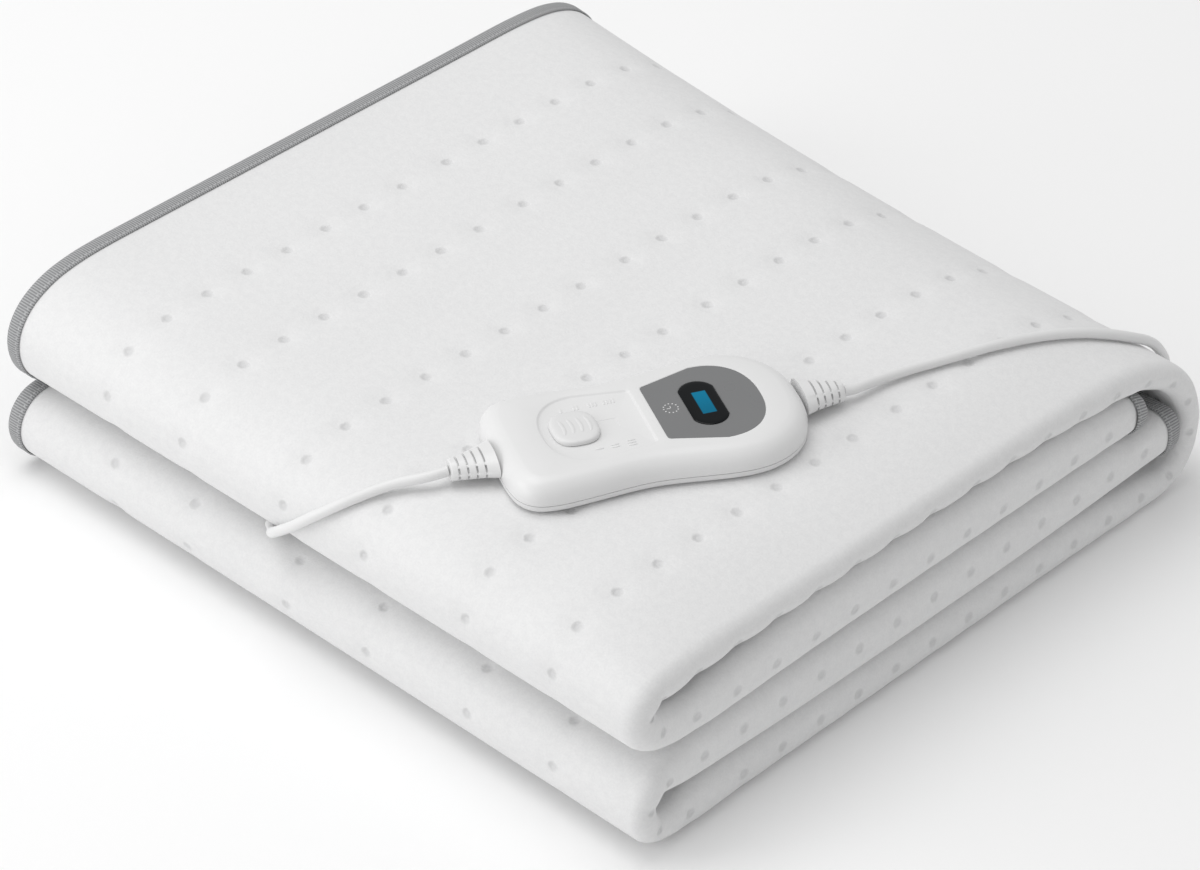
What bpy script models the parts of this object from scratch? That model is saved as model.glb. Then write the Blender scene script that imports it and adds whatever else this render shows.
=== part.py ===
"""A folded electric underblanket with its slide-switch handset, leads, coil and plug.

Metres, +Z up. The origin is on the supporting surface, under the middle of the folded
stack. +X runs from the bound long edges to the first fold, +Y from the two rolls to the
single wrap. Lengths in the tables are millimetres and are scaled by MM where they are used.
"""

import math

import bmesh
import bpy
import numpy as np

MM = 0.001
GAP = 0.3  # clearance between pieces that touch

# ---------------------------------------------------------------- folded cloth
CLOTH = 6.4  # quilted fleece, both faces and the wire layer between them
BOUND_X = -203.5  # cut edge of the outer layer
INNER_STAGGER = 2.0  # how far the inner layer's cut edge stays back
DROOP_LENGTH = 58.0  # the top panel sinks over this length before its folded edge
FOLD_SQUARENESS = 2.6  # superellipse power of the widest folded edges; tight ones are round
TIGHT_BEND = 4.5  # half the distance between the layers where a fold is still round
WIDE_BEND = 9.0  # the folded edge reaches no further than this past its straight part
CENTRE_Y = 8.9  # middle of the finished stack in the tables' own Y

# The outer face of the doubled strip, from the short end of panel 2 to that of panel 3.
# The first four numbers place it at the bound side and at the folded side, the two
# "apart" numbers are the distance between the middles of the two layers there, tip is
# where the folded edge ends in X, and droop is how far that edge sinks.
# place, bound y, bound z, fold y, fold z, bound apart, fold apart, tip, droop, steps
FOLD_ROWS = (
    ("panel 2 end", 152.0, 43.8, 153.5, 50.6, 12.5, 10.6, 202.0, 0.0, 1),
    ("panel 2 end", 134.0, 43.8, 136.0, 50.9, 14.0, 14.5, 203.0, 0.0, 2),
    ("panel 2", 70.0, 43.8, 70.0, 51.2, 17.0, 19.0, 203.5, 0.0, 2),
    ("panel 2", -60.0, 43.8, -60.0, 50.8, 17.0, 21.6, 203.5, 0.0, 2),
    ("panel 2", -128.0, 43.8, -128.0, 49.6, 13.0, 17.0, 203.0, 0.0, 1),
    ("panel 2", -144.0, 43.8, -146.0, 49.9, 10.6, 14.0, 202.5, 0.0, 1),
    ("upper roll", -158.5, 44.7, -160.6, 51.0, 9.4, 13.6, 202.5, 0.0, 2),
    ("upper roll", -171.0, 48.2, -173.4, 54.4, 9.2, 13.4, 202.0, 0.0, 2),
    ("upper roll", -179.6, 56.4, -182.2, 62.8, 9.2, 12.4, 201.5, 0.0, 2),
    ("upper roll", -183.2, 68.4, -185.4, 74.3, 9.2, 11.2, 201.0, 1.0, 2),
    ("upper roll", -180.8, 80.4, -182.2, 85.8, 9.2, 10.8, 201.0, 2.0, 2),
    ("upper roll", -172.4, 90.6, -173.4, 94.0, 9.2, 11.4, 201.0, 4.0, 2),
    ("upper roll", -159.6, 97.4, -160.4, 98.4, 9.4, 11.8, 201.0, 6.0, 2),
    ("upper roll", -145.0, 100.6, -144.5, 101.0, 9.8, 12.0, 201.2, 7.0, 1),
    ("panel 1", -128.0, 101.8, -127.0, 101.9, 10.8, 11.4, 201.5, 7.0, 1),
    ("panel 1", -100.0, 102.0, -100.0, 102.0, 13.0, 10.0, 202.0, 7.0, 2),
    ("panel 1", 0.0, 102.0, 0.0, 102.0, 17.0, 9.0, 202.5, 7.0, 2),
    ("panel 1", 100.0, 102.0, 80.0, 102.0, 15.0, 10.2, 202.5, 8.0, 2),
    ("wrap", 148.0, 102.0, 122.0, 99.0, 10.6, 11.6, 203.0, 7.0, 2),
    ("wrap", 174.0, 99.0, 149.0, 92.2, 9.4, 9.4, 203.0, 4.0, 2),
    ("wrap", 191.0, 90.5, 173.0, 79.8, 9.2, 8.2, 203.0, 1.6, 2),
    ("wrap", 201.0, 76.0, 189.8, 62.0, 9.2, 7.3, 203.0, 0.0, 2),
    ("wrap", 205.0, 58.0, 198.2, 43.0, 9.2, 7.2, 203.0, 0.0, 2),
    ("wrap", 203.5, 39.0, 199.0, 26.0, 9.2, 7.2, 203.0, 0.0, 2),
    ("wrap", 196.0, 21.0, 192.5, 11.0, 9.2, 7.2, 203.0, 0.0, 2),
    ("wrap", 182.0, 6.8, 180.0, 2.4, 9.2, 7.6, 203.0, 0.0, 2),
    ("panel 4", 162.0, 1.4, 162.0, 0.0, 9.4, 9.5, 203.0, 0.0, 1),
    ("panel 4", 100.0, 1.2, 100.0, 0.0, 9.8, 14.0, 203.0, 0.0, 2),
    ("panel 4", 0.0, 1.2, 0.0, 0.0, 9.8, 14.2, 203.0, 0.0, 2),
    ("panel 4", -110.0, 1.2, -110.0, 0.0, 9.6, 15.4, 203.0, 0.0, 1),
    ("panel 4", -140.0, 1.2, -138.0, 0.0, 9.2, 15.6, 203.5, 0.0, 1),
    ("panel 4", -155.0, 1.8, -151.0, 0.7, 8.9, 13.5, 203.7, 0.0, 1),
    ("lower roll", -169.0, 4.2, -163.5, 2.6, 8.7, 10.0, 204.0, 0.0, 2),
    ("lower roll", -179.3, 8.6, -175.4, 6.6, 8.7, 8.4, 204.5, 0.0, 2),
    ("lower roll", -184.7, 14.6, -182.8, 14.6, 8.7, 8.0, 205.0, 0.0, 2),
    ("lower roll", -187.2, 23.7, -185.4, 25.0, 8.7, 8.0, 205.0, 0.0, 2),
    ("lower roll", -184.7, 32.9, -182.6, 35.4, 8.7, 8.0, 205.0, 0.0, 2),
    ("lower roll", -178.0, 39.6, -175.0, 43.4, 8.7, 8.6, 204.5, 0.0, 2),
    ("lower roll", -168.8, 42.1, -163.6, 47.0, 8.8, 13.0, 204.0, 0.0, 1),
    ("panel 3", -157.0, 41.6, -152.0, 48.2, 9.2, 16.0, 203.7, 0.0, 1),
    ("panel 3", -134.0, 40.2, -134.0, 48.8, 9.8, 18.0, 203.5, 0.0, 1),
    ("panel 3", -60.0, 40.2, -60.0, 49.2, 10.5, 21.2, 203.5, 0.0, 2),
    ("panel 3", 70.0, 40.2, 70.0, 49.2, 10.5, 21.2, 203.5, 0.0, 2),
    ("panel 3 end", 155.0, 40.2, 164.0, 47.6, 10.5, 17.0, 203.0, 0.0, 1),
    ("panel 3 end", 170.0, 40.2, 180.4, 47.0, 10.5, 15.5, 203.0, 0.0, 0),
)

# Stations across the doubled strip, as shares of the outer and of the inner layer.
OUTER_SHARES = (0.0, 0.03, 0.12, 0.25, 0.4, 0.55, 0.7, 0.82, 0.9, 0.96, 1.0)
BEND_TURNS = (22.5, 45.0, 67.5, 90.0, 112.5, 135.0, 157.5)  # degrees
INNER_SHARES = (1.0, 0.85, 0.6, 0.35, 0.15, 0.03, 0.0)

# ------------------------------------------------------------------ edge tape
TAPE = 0.7  # thickness of the folded-over tape
TAPE_WIDTH = 9.0  # how far it covers each face

# -------------------------------------------------------------------- handset
HAND_CENTRE = (90.9, -61.8)
HAND_TURN = 62.85  # degrees from +X
REST_Z = 102.0 + GAP  # underside of the handset
SEAM_Z = REST_Z + 4.0
FACE_Z = REST_Z + 15.0
# Half the outline of the handset: along, half width.
HAND_OUTLINE = (
    (-71.0, 0.0),
    (-71.0, 12.5),
    (-70.6, 19.8),
    (-69.2, 26.6),
    (-65.9, 31.9),
    (-60.7, 35.2),
    (-52.3, 36.5),
    (-41.8, 36.2),
    (-29.3, 35.2),
    (-16.7, 34.2),
    (-6.3, 34.2),
    (5.2, 35.6),
    (16.7, 37.5),
    (27.2, 39.0),
    (36.6, 39.4),
    (44.9, 38.3),
    (53.3, 35.0),
    (60.6, 29.6),
    (65.8, 22.9),
    (69.4, 14.6),
    (70.8, 6.8),
    (71.0, 0.0),
)
# Shoulder of the cover: how far in, height over the seam.
COVER_RINGS = ((0.0, GAP), (0.0, 2.8), (0.7, 5.3), (2.3, 7.8), (5.0, 9.9), (8.6, 11.0))
BASE_RINGS = ((3.2, 0.0), (1.2, 0.9), (0.3, 2.2), (0.3, 4.0))

RECESS_DEPTH = 0.8
RECESS = (-49.5, -1.8, 24.0, 20.6)  # round end, straight end, half width, half width there
PANEL = (52.5, 2.2, 27.3, 20.6)
PANEL_THICK = 1.0
WINDOW = (25.8, 0.0, 8.2, 16.4)  # centre along and across, half sizes
WINDOW_PROUD = 0.3

BUTTON_ALONG = -34.0
BUTTON_HALF = (10.6, 11.6)
BUTTON_HEIGHT = 2.2
BUTTON_RIBS = 5
STEM = (9.0, 5.0)
SLOT_WIDTH = 6.2
SLOT_DEPTH = 2.6
TRAVEL = 15.0  # three steps of five millimetres
SLOT_END = 0.6  # play at each end of the travel

# ---------------------------------------------------------------------- leads
LEAD = 5.0  # diameter
RELIEF_LENGTH = 20.0
RELIEF_WIDE = (11.8, 6.0)  # half width and half height at the housing
RELIEF_NARROW = 4.8
RELIEF_RIBS = 5
RELIEF_Z = REST_Z + 7.6

# Route of the lead from the handset to the blanket, over the upper roll into the crease.
BLANKET_ROUTE = (
    (48.9, -143.55, 108.35),
    (47.3, -146.7, 107.9),
    (44.6, -150.7, 107.0),
    (40.8, -154.7, 105.6),
    (36.2, -158.6, 103.9),
    (31.9, -162.9, 101.9),
    (27.9, -167.7, 99.7),
    (23.9, -172.5, 97.2),
    (19.4, -177.4, 94.1),
    (14.8, -181.3, 90.5),
    (5.8, -186.1, 82.9),
    (-2.0, -187.8, 75.8),
    (-9.8, -187.5, 69.1),
    (-16.5, -186.7, 63.5),
    (-22.2, -184.1, 58.6),
    (-27.2, -180.2, 53.9),
    (-32.0, -175.6, 50.3),
    (-37.4, -171.8, 48.3),
)
# Route of the mains lead, over the wrap, down behind it and round to the coil.
MAINS_ROUTE = (
    (132.92, 20.1, 108.33),
    (134.7, 24.2, 107.95),
    (135.5, 29.8, 107.4),
    (136.2, 36.2, 106.75),
    (137.6, 43.8, 106.15),
    (139.4, 51.0, 105.7),
    (141.5, 58.5, 105.4),
    (146.3, 72.5, 105.0),
    (150.9, 86.9, 104.4),
    (155.5, 101.6, 103.4),
    (160.3, 116.0, 101.7),
    (165.0, 128.8, 99.5),
    (170.2, 142.2, 96.2),
    (174.6, 153.0, 92.4),
    (178.2, 162.6, 88.1),
    (180.4, 170.4, 83.9),
    (181.2, 177.8, 79.3),
    (181.0, 184.8, 73.2),
    (180.2, 190.8, 66.2),
    (179.2, 195.9, 58.7),
    (178.0, 199.6, 50.5),
    (176.6, 201.9, 42.2),
    (174.8, 203.1, 34.0),
    (172.4, 203.5, 26.0),
    (168.6, 204.2, 18.2),
    (162.6, 205.8, 11.2),
    (153.6, 207.4, 5.8),
    (140.0, 208.6, 3.2),
    (100.0, 209.8, 2.9),
    (30.0, 210.4, 2.9),
    (-60.0, 211.0, 2.9),
    (-140.0, 213.0, 2.9),
    (-186.0, 214.6, 2.9),
    (-215.0, 205.0, 2.9),
    (-229.0, 180.0, 2.9),
    (-230.0, 146.0, 3.1),
    (-223.4, 112.0, 3.9),
    (-215.0, 86.0, 5.0),
    (-211.1, 66.0, 5.4),
    (-211.15, 48.8, 5.6),
)
COIL_CENTRE = (-241.0, 30.0)
COIL_RADIUS = 27.5  # middle of the turns
COIL_WIDE = 10.4
COIL_HIGH = 20.6
COIL_LIFT = 1.8
TIE_WIDTH = 9.0
TIE_THICK = 1.3
TAIL_ROUTE = (
    (-216.7, 4.7, 9.0),
    (-217.6, -8.0, 8.8),
    (-220.4, -20.6, 8.3),
    (-224.8, -32.6, 7.7),
    (-227.3, -42.6, 7.3),
    (-227.6, -49.85, 7.2),
)

PLUG_Y = -50.0
PLUG_X = -227.6
PLUG_RELIEF = 20.0
PLUG_HALF = (17.6, 6.85)  # half width and half height
PLUG_LENGTH = 36.0
PLUG_Z = 7.2
PIN_RADIUS = 2.0
PIN_LENGTH = 19.0
PIN_PITCH = 19.0

COLOURS = {
    "fleece": ((0.86, 0.86, 0.85), 0.95),
    "tape": ((0.30, 0.31, 0.32), 0.9),
    "white_plastic": ((0.85, 0.85, 0.84), 0.38),
    "button_plastic": ((0.83, 0.83, 0.82), 0.42),
    "grey_panel": ((0.20, 0.20, 0.205), 0.35),
    "dark_window": ((0.01, 0.012, 0.014), 0.08),
    "lead": ((0.84, 0.84, 0.83), 0.42),
    "tie": ((0.80, 0.80, 0.79), 0.55),
}


def clear_scene():
    for obj in list(bpy.data.objects):
        bpy.data.objects.remove(obj, do_unlink=True)


def material(name, metallic=0.0):
    found = bpy.data.materials.get(name)
    if found:
        return found
    colour, roughness = COLOURS[name]
    made = bpy.data.materials.new(name)
    made.use_nodes = True
    shader = made.node_tree.nodes["Principled BSDF"]
    shader.inputs["Base Color"].default_value = (*colour, 1.0)
    shader.inputs["Roughness"].default_value = roughness
    shader.inputs["Metallic"].default_value = metallic
    return made


def steel():
    made = bpy.data.materials.new("steel")
    made.use_nodes = True
    shader = made.node_tree.nodes["Principled BSDF"]
    shader.inputs["Base Color"].default_value = (0.62, 0.62, 0.63, 1.0)
    shader.inputs["Roughness"].default_value = 0.25
    shader.inputs["Metallic"].default_value = 1.0
    return made


def add_object(name, bm, finish, smooth_below=40.0):
    bmesh.ops.recalc_face_normals(bm, faces=bm.faces)
    mesh = bpy.data.meshes.new(name)
    bm.to_mesh(mesh)
    bm.free()
    mesh.shade_smooth()
    mesh.set_sharp_from_angle(angle=math.radians(smooth_below))
    mesh.materials.append(finish)
    obj = bpy.data.objects.new(name, mesh)
    bpy.context.scene.collection.objects.link(obj)
    return obj


def skin_rings(bm, rings, closed_along=False, caps=True):
    """Joins rings of points, each a closed loop, into one tube."""
    loops = [[bm.verts.new(p) for p in ring] for ring in rings]
    pairs = list(zip(loops[:-1], loops[1:]))
    if closed_along:
        pairs.append((loops[-1], loops[0]))
    for first, second in pairs:
        count = len(first)
        for i in range(count):
            j = (i + 1) % count
            bm.faces.new((first[i], first[j], second[j], second[i]))
    if caps and not closed_along:
        bm.faces.new(loops[0])
        bm.faces.new(loops[-1])


# ------------------------------------------------------------ the folded cloth
def catmull_rom(p0, p1, p2, p3, t):
    """A point between p1 and p2 on the smooth curve through all four."""
    return 0.5 * (
        2 * p1
        + (p2 - p0) * t
        + (2 * p0 - 5 * p1 + 4 * p2 - p3) * t * t
        + (3 * p1 - p0 - 3 * p2 + p3) * t * t * t
    )


def fold_stations():
    """The rows of the fold table with the steps between them, as an array."""
    rows = np.array([row[1:9] for row in FOLD_ROWS])
    stations = []
    for i, row in enumerate(FOLD_ROWS[:-1]):
        p0 = rows[max(i - 1, 0)]
        p3 = rows[min(i + 2, len(rows) - 1)]
        for step in range(row[9]):
            stations.append(catmull_rom(p0, rows[i], rows[i + 1], p3, step / row[9]))
    stations.append(rows[-1])
    return np.array(stations)


def mean_direction(points, axis):
    """At each point, the unit bisector of the steps before and after it on one axis."""
    steps = np.diff(points, axis=axis)
    steps /= np.linalg.norm(steps, axis=-1, keepdims=True)
    first = np.take(steps, [0], axis=axis)
    last = np.take(steps, [-1], axis=axis)
    total = np.concatenate([first, steps], axis=axis) + np.concatenate([steps, last], axis=axis)
    return total / np.linalg.norm(total, axis=-1, keepdims=True)


def outward(y, z):
    """Unit normals on the left of the section's direction of travel."""
    direction = mean_direction(np.stack([y, z], axis=1), 0)
    return -direction[:, 1], direction[:, 0]


def cloth_middle():
    """The middle surface of the cloth, as a grid of points across and along."""
    stations = fold_stations()
    bound_apart, fold_apart, tip, droop = stations[:, 4:8].T
    # The top panel sinks towards its folded edge, and the bend there leans as much.
    lean = np.arctan(2.0 * droop / DROOP_LENGTH)
    depth_at_fold = fold_apart * np.cos(lean)
    bend = np.minimum(depth_at_fold / 2, WIDE_BEND)
    openness = np.clip((fold_apart / 2 - TIGHT_BEND) / (WIDE_BEND - TIGHT_BEND), 0.0, 1.0)
    power = 2.0 / (2.0 + (FOLD_SQUARENESS - 2.0) * openness)
    bend_start = tip - CLOTH / 2 - bend
    bend_stop = bend_start - depth_at_fold * np.sin(lean)

    def section(x):
        """Outer face and outward normal of the strip at this x, in YZ, before it sinks."""
        share = np.clip((x - BOUND_X) / (bend_start - BOUND_X), 0.0, 1.0)
        blend = 1.0 - (1.0 - share) ** 2
        y = stations[:, 0] + (stations[:, 2] - stations[:, 0]) * blend
        z = stations[:, 1] + (stations[:, 3] - stations[:, 1]) * blend
        return y, z, *outward(y, z), share

    def flat_column(x, layer):
        y, z, ny, nz, share = section(x)
        sunk = droop * np.clip((x - bend_start) / DROOP_LENGTH + 1.0, 0.0, 1.0) ** 2
        apart = bound_apart + (fold_apart - bound_apart) * share
        down = CLOTH / 2 + sunk + layer * apart
        return np.stack([x, y - CENTRE_Y - down * ny, z - down * nz], axis=1)

    def bend_column(turn):
        angle = math.radians(turn)
        reach = bend * math.sin(angle) ** power
        side = math.copysign(1.0, math.cos(angle)) * abs(math.cos(angle)) ** power
        depth = depth_at_fold * (1.0 - side) / 2
        y, z, ny, nz, _ = section(bend_start)
        x = bend_start + reach * np.cos(lean) - depth * np.sin(lean)
        down = CLOTH / 2 + droop + reach * np.sin(lean) + depth * np.cos(lean)
        return np.stack([x, y - CENTRE_Y - down * ny, z - down * nz], axis=1)

    columns = [flat_column(BOUND_X + (bend_start - BOUND_X) * share, 0.0) for share in OUTER_SHARES]
    columns += [bend_column(turn) for turn in BEND_TURNS]
    start = BOUND_X + INNER_STAGGER
    columns += [flat_column(start + (bend_stop - start) * share, 1.0) for share in INNER_SHARES]
    return np.array(columns)


def grid_normals(grid):
    """Unit normals of the middle surface, towards the outside of the fold."""
    normal = np.cross(mean_direction(grid, 0), mean_direction(grid, 1))
    return normal / np.linalg.norm(normal, axis=2, keepdims=True)


def make_blanket(grid, normals):
    """One closed solid: the two faces of the cloth and the rim between them."""
    bm = bmesh.new()
    faces = []
    for side in (0.5, -0.5):
        points = (grid + normals * CLOTH * side) * MM
        faces.append([[bm.verts.new(p) for p in column] for column in points])
    top, under = faces
    across, along = grid.shape[:2]
    for i in range(across - 1):
        for j in range(along - 1):
            bm.faces.new((top[i][j], top[i + 1][j], top[i + 1][j + 1], top[i][j + 1]))
            bm.faces.new((under[i][j], under[i][j + 1], under[i + 1][j + 1], under[i + 1][j]))
    rim = edge_loop(across, along)
    for (i, j), (k, m) in zip(rim, rim[1:] + rim[:1]):
        bm.faces.new((top[i][j], top[k][m], under[k][m], under[i][j]))
    return add_object("blanket", bm, material("fleece"))


def edge_loop(across, along):
    """Grid indices once round the four cut edges of the cloth."""
    loop = [(0, j) for j in range(along - 1)]
    loop += [(i, along - 1) for i in range(across - 1)]
    loop += [(across - 1, j) for j in range(along - 1, 0, -1)]
    loop += [(i, 0) for i in range(across - 1, 0, -1)]
    return loop


def edge_direction(grid, i, j):
    """Points out of the cloth in its own plane, with both sides' shares at a corner."""
    across, along = grid.shape[:2]
    out = np.zeros(3)
    for here, beyond in (
        (i == 0, (1, j)),
        (i == across - 1, (across - 2, j)),
        (j == 0, (i, 1)),
        (j == along - 1, (i, along - 2)),
    ):
        if here:
            step = grid[i, j] - grid[beyond]
            out += step / np.linalg.norm(step)
    return out


def make_edge_tape(grid, normals):
    """The tape folded over the cut edge, once round the cloth, as one closed channel."""
    inside = CLOTH / 2 + GAP
    outside = inside + TAPE
    chamfer = TAPE * 1.6
    profile = (
        (-TAPE_WIDTH, outside),
        (GAP + TAPE - chamfer, outside),
        (GAP + TAPE, outside - chamfer),
        (GAP + TAPE, chamfer - outside),
        (GAP + TAPE - chamfer, -outside),
        (-TAPE_WIDTH, -outside),
        (-TAPE_WIDTH, -inside),
        (GAP, -inside),
        (GAP, inside),
        (-TAPE_WIDTH, inside),
    )
    rings = []
    for i, j in edge_loop(*grid.shape[:2]):
        out = edge_direction(grid, i, j)
        rings.append([(grid[i, j] + out * e + normals[i, j] * n) * MM for e, n in profile])
    bm = bmesh.new()
    skin_rings(bm, rings, closed_along=True)
    return add_object("edge_binding", bm, material("tape"), smooth_below=30.0)


# ------------------------------------------------------------------ the handset
def hand_frame():
    """An empty that carries the handset's own axes: X along it, Y across, Z up."""
    frame = bpy.data.objects.new("handset_frame", None)
    bpy.context.scene.collection.objects.link(frame)
    frame.location = (HAND_CENTRE[0] * MM, (HAND_CENTRE[1] - CENTRE_Y) * MM, 0.0)
    frame.rotation_euler = (0.0, 0.0, math.radians(HAND_TURN))
    return frame


def full_outline(half):
    """Both sides of a half outline given as (along, half width) from end to end."""
    right = list(half)
    left = [(x, -y) for x, y in reversed(half) if y > 0.0]
    return right + left


def inset_outline(outline, amount):
    """The outline moved inwards along its own normals."""
    points = np.array(outline)
    ahead = np.roll(points, -1, axis=0)
    behind = np.roll(points, 1, axis=0)
    direction = ahead - behind
    direction /= np.linalg.norm(direction, axis=1, keepdims=True)
    inwards = np.stack([direction[:, 1], -direction[:, 0]], axis=1)
    return points + inwards * amount


def stacked_rings(outline, rings, base_z):
    return [
        [(x * MM, y * MM, (base_z + height) * MM) for x, y in inset_outline(outline, inset)]
        for inset, height in rings
    ]


def d_shape(round_end, straight_end, half_width, half_at_straight, points=9):
    """A D: one straight end, sides that widen, and a round end."""
    reach = half_width * 0.9 * (1 if round_end > straight_end else -1)
    shoulder = round_end - reach
    outline = [(straight_end, half_at_straight)]
    for k in range(points + 1):
        angle = math.pi / 2 * (1.0 - 2.0 * k / points)
        across = math.copysign(abs(math.sin(angle)) ** 0.85, math.sin(angle))
        outline.append((shoulder + reach * math.cos(angle) ** 0.85, half_width * across))
    outline.append((straight_end, -half_at_straight))
    return outline


def obround(centre_x, centre_y, half_x, half_y, power=2.6, points=28):
    """A rounded oblong as a superellipse."""
    outline = []
    for k in range(points):
        angle = 2 * math.pi * k / points
        c, s = math.cos(angle), math.sin(angle)
        outline.append(
            (
                centre_x + half_x * math.copysign(abs(c) ** (2 / power), c),
                centre_y + half_y * math.copysign(abs(s) ** (2 / power), s),
            )
        )
    return outline


def prism(outline, low, high):
    """A straight-sided solid on an outline, between two heights in millimetres."""
    bm = bmesh.new()
    skin_rings(bm, [[(x * MM, y * MM, z * MM) for x, y in outline] for z in (low, high)])
    return bm


def cutter(name, bm, frame):
    obj = add_object(name, bm, material("white_plastic"))
    obj.parent = frame
    obj.hide_render = True
    obj.display_type = "WIRE"
    return obj


def subtract(obj, tool):
    cut = obj.modifiers.new("cut_" + tool.name, "BOOLEAN")
    cut.operation = "DIFFERENCE"
    cut.solver = "EXACT"
    cut.object = tool


def make_handset(frame):
    outline = full_outline(HAND_OUTLINE)
    bm = bmesh.new()
    skin_rings(bm, stacked_rings(outline, BASE_RINGS, REST_Z))
    base = add_object("handset_base", bm, material("white_plastic"))
    base.parent = frame

    bm = bmesh.new()
    skin_rings(bm, stacked_rings(outline, COVER_RINGS, SEAM_Z))
    cover = add_object("handset_cover", bm, material("white_plastic"))
    cover.parent = frame
    recess_floor = FACE_Z - RECESS_DEPTH
    above = FACE_Z + 2.0
    subtract(cover, cutter("recess_cutter", prism(d_shape(*RECESS), recess_floor, above), frame))
    pocket_floor = FACE_Z - PANEL_THICK - GAP
    subtract(cover, cutter("panel_cutter", prism(d_shape(*PANEL), pocket_floor, above), frame))
    slot_start = BUTTON_ALONG - STEM[0] / 2 - SLOT_END
    slot_stop = BUTTON_ALONG + STEM[0] / 2 + TRAVEL + SLOT_END
    half = SLOT_WIDTH / 2
    slot = [(slot_start, -half), (slot_stop, -half), (slot_stop, half), (slot_start, half)]
    slot_floor = recess_floor - SLOT_DEPTH
    subtract(cover, cutter("slot_cutter", prism(slot, slot_floor, above), frame))
    return slot_floor, recess_floor


def make_display(frame):
    """The grey display panel let into the cover, and the dark window let into that."""
    panel_low = FACE_Z - PANEL_THICK
    inner = (PANEL[0] - GAP, PANEL[1] + GAP, PANEL[2] - GAP, PANEL[3] - GAP)
    panel = add_object("display_panel", prism(d_shape(*inner), panel_low, FACE_Z), material("grey_panel"))
    panel.parent = frame
    x, y, half_x, half_y = WINDOW
    hole = obround(x, y, half_x + GAP, half_y + GAP, power=3.4)
    subtract(panel, cutter("window_cutter", prism(hole, panel_low - 1.0, FACE_Z + 1.0), frame))
    shape = obround(x, y, half_x, half_y, power=3.4)
    bm = bmesh.new()
    rings = []
    for inset, z in ((0.0, panel_low), (0.0, FACE_Z), (0.5, FACE_Z + WINDOW_PROUD)):
        rings.append([(p * MM, q * MM, z * MM) for p, q in inset_outline(shape, -inset)])
    skin_rings(bm, rings)
    window = add_object("display_window", bm, material("dark_window"))
    window.parent = frame


def make_button(frame, slot_floor, recess_floor):
    """The sliding button: a ribbed pad over the recess on a stem in the slot."""
    low = recess_floor + GAP
    top = low + BUTTON_HEIGHT
    pad = obround(0.0, 0.0, *BUTTON_HALF, power=2.5)
    rings = []
    for inset, z in ((0.0, low), (0.0, top - 0.8), (0.9, top)):
        rings.append([(p * MM, q * MM, z * MM) for p, q in inset_outline(pad, -inset)])
    bm = bmesh.new()
    skin_rings(bm, rings)
    button = add_object("slide_button", bm, material("button_plastic"))
    button.parent = frame
    button.location.x = BUTTON_ALONG * MM

    def fuse(name, outline, z_low, z_high, operation):
        tool = cutter(name, prism(outline, z_low, z_high), frame)
        tool.location.x = BUTTON_ALONG * MM
        change = button.modifiers.new(name, "BOOLEAN")
        change.operation = operation
        change.solver = "EXACT"
        change.object = tool

    half_x, half_y = STEM[0] / 2, STEM[1] / 2
    stem = [(-half_x, -half_y), (half_x, -half_y), (half_x, half_y), (-half_x, half_y)]
    fuse("button_stem", stem, slot_floor + GAP, low + 0.5, "UNION")
    pitch = 2.6
    for k in range(BUTTON_RIBS):
        x = (k - (BUTTON_RIBS - 1) / 2) * pitch
        rib = obround(x, 0.0, 0.55, 5.6, power=4.0, points=12)
        fuse("button_rib_%d" % (k + 1), rib, top - 0.4, top + 0.5, "UNION")


# -------------------------------------------------------------------- the leads
def make_relief(name, frame, start, direction, tilt_z):
    """A tapered, ribbed sleeve of oval section where a lead leaves the housing."""
    sides = 16
    rings = []
    stations = RELIEF_RIBS * 4
    for k in range(stations + 1):
        share = k / stations
        taper = share**0.8
        groove = 0.0
        if k % 4 in (2, 3) and 0 < k < stations - 1:
            groove = 1.0 - 0.5 * share
        half_w = RELIEF_WIDE[0] + (RELIEF_NARROW - RELIEF_WIDE[0]) * taper - groove
        half_h = RELIEF_WIDE[1] + (RELIEF_NARROW - RELIEF_WIDE[1]) * taper - groove
        x = start + direction * RELIEF_LENGTH * share
        z = RELIEF_Z + tilt_z * share
        ring = []
        for side in range(sides):
            angle = 2 * math.pi * side / sides
            ring.append(
                (x * MM, half_w * math.cos(angle) * MM, (z + half_h * math.sin(angle)) * MM)
            )
        rings.append(ring)
    bm = bmesh.new()
    skin_rings(bm, rings)
    relief = add_object(name, bm, material("white_plastic"))
    relief.parent = frame


def smooth_route(route, step):
    """Points about a step apart on a smooth curve through the route's own points."""
    points = np.array(route, float) - (0.0, CENTRE_Y, 0.0)
    fine = []
    for i in range(len(points) - 1):
        p0 = points[max(i - 1, 0)]
        p3 = points[min(i + 2, len(points) - 1)]
        for k in range(24):
            fine.append(catmull_rom(p0, points[i], points[i + 1], p3, k / 24))
    fine.append(points[-1])
    fine = np.array(fine)
    along = np.concatenate([[0.0], np.cumsum(np.linalg.norm(np.diff(fine, axis=0), axis=1))])
    wanted = np.linspace(0.0, along[-1], max(2, round(along[-1] / step)) + 1)
    return np.stack([np.interp(wanted, along, fine[:, k]) for k in range(3)], axis=1)


def make_lead(name, route, step):
    curve = bpy.data.curves.new(name, "CURVE")
    curve.dimensions = "3D"
    curve.bevel_depth = LEAD / 2 * MM
    curve.bevel_resolution = 2
    curve.use_fill_caps = True
    points = smooth_route(route, step) * MM
    spline = curve.splines.new("POLY")
    spline.points.add(len(points) - 1)
    for target, point in zip(spline.points, points):
        target.co = (*point, 1.0)
    curve.materials.append(material("lead"))
    obj = bpy.data.objects.new(name, curve)
    bpy.context.scene.collection.objects.link(obj)
    return obj


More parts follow.
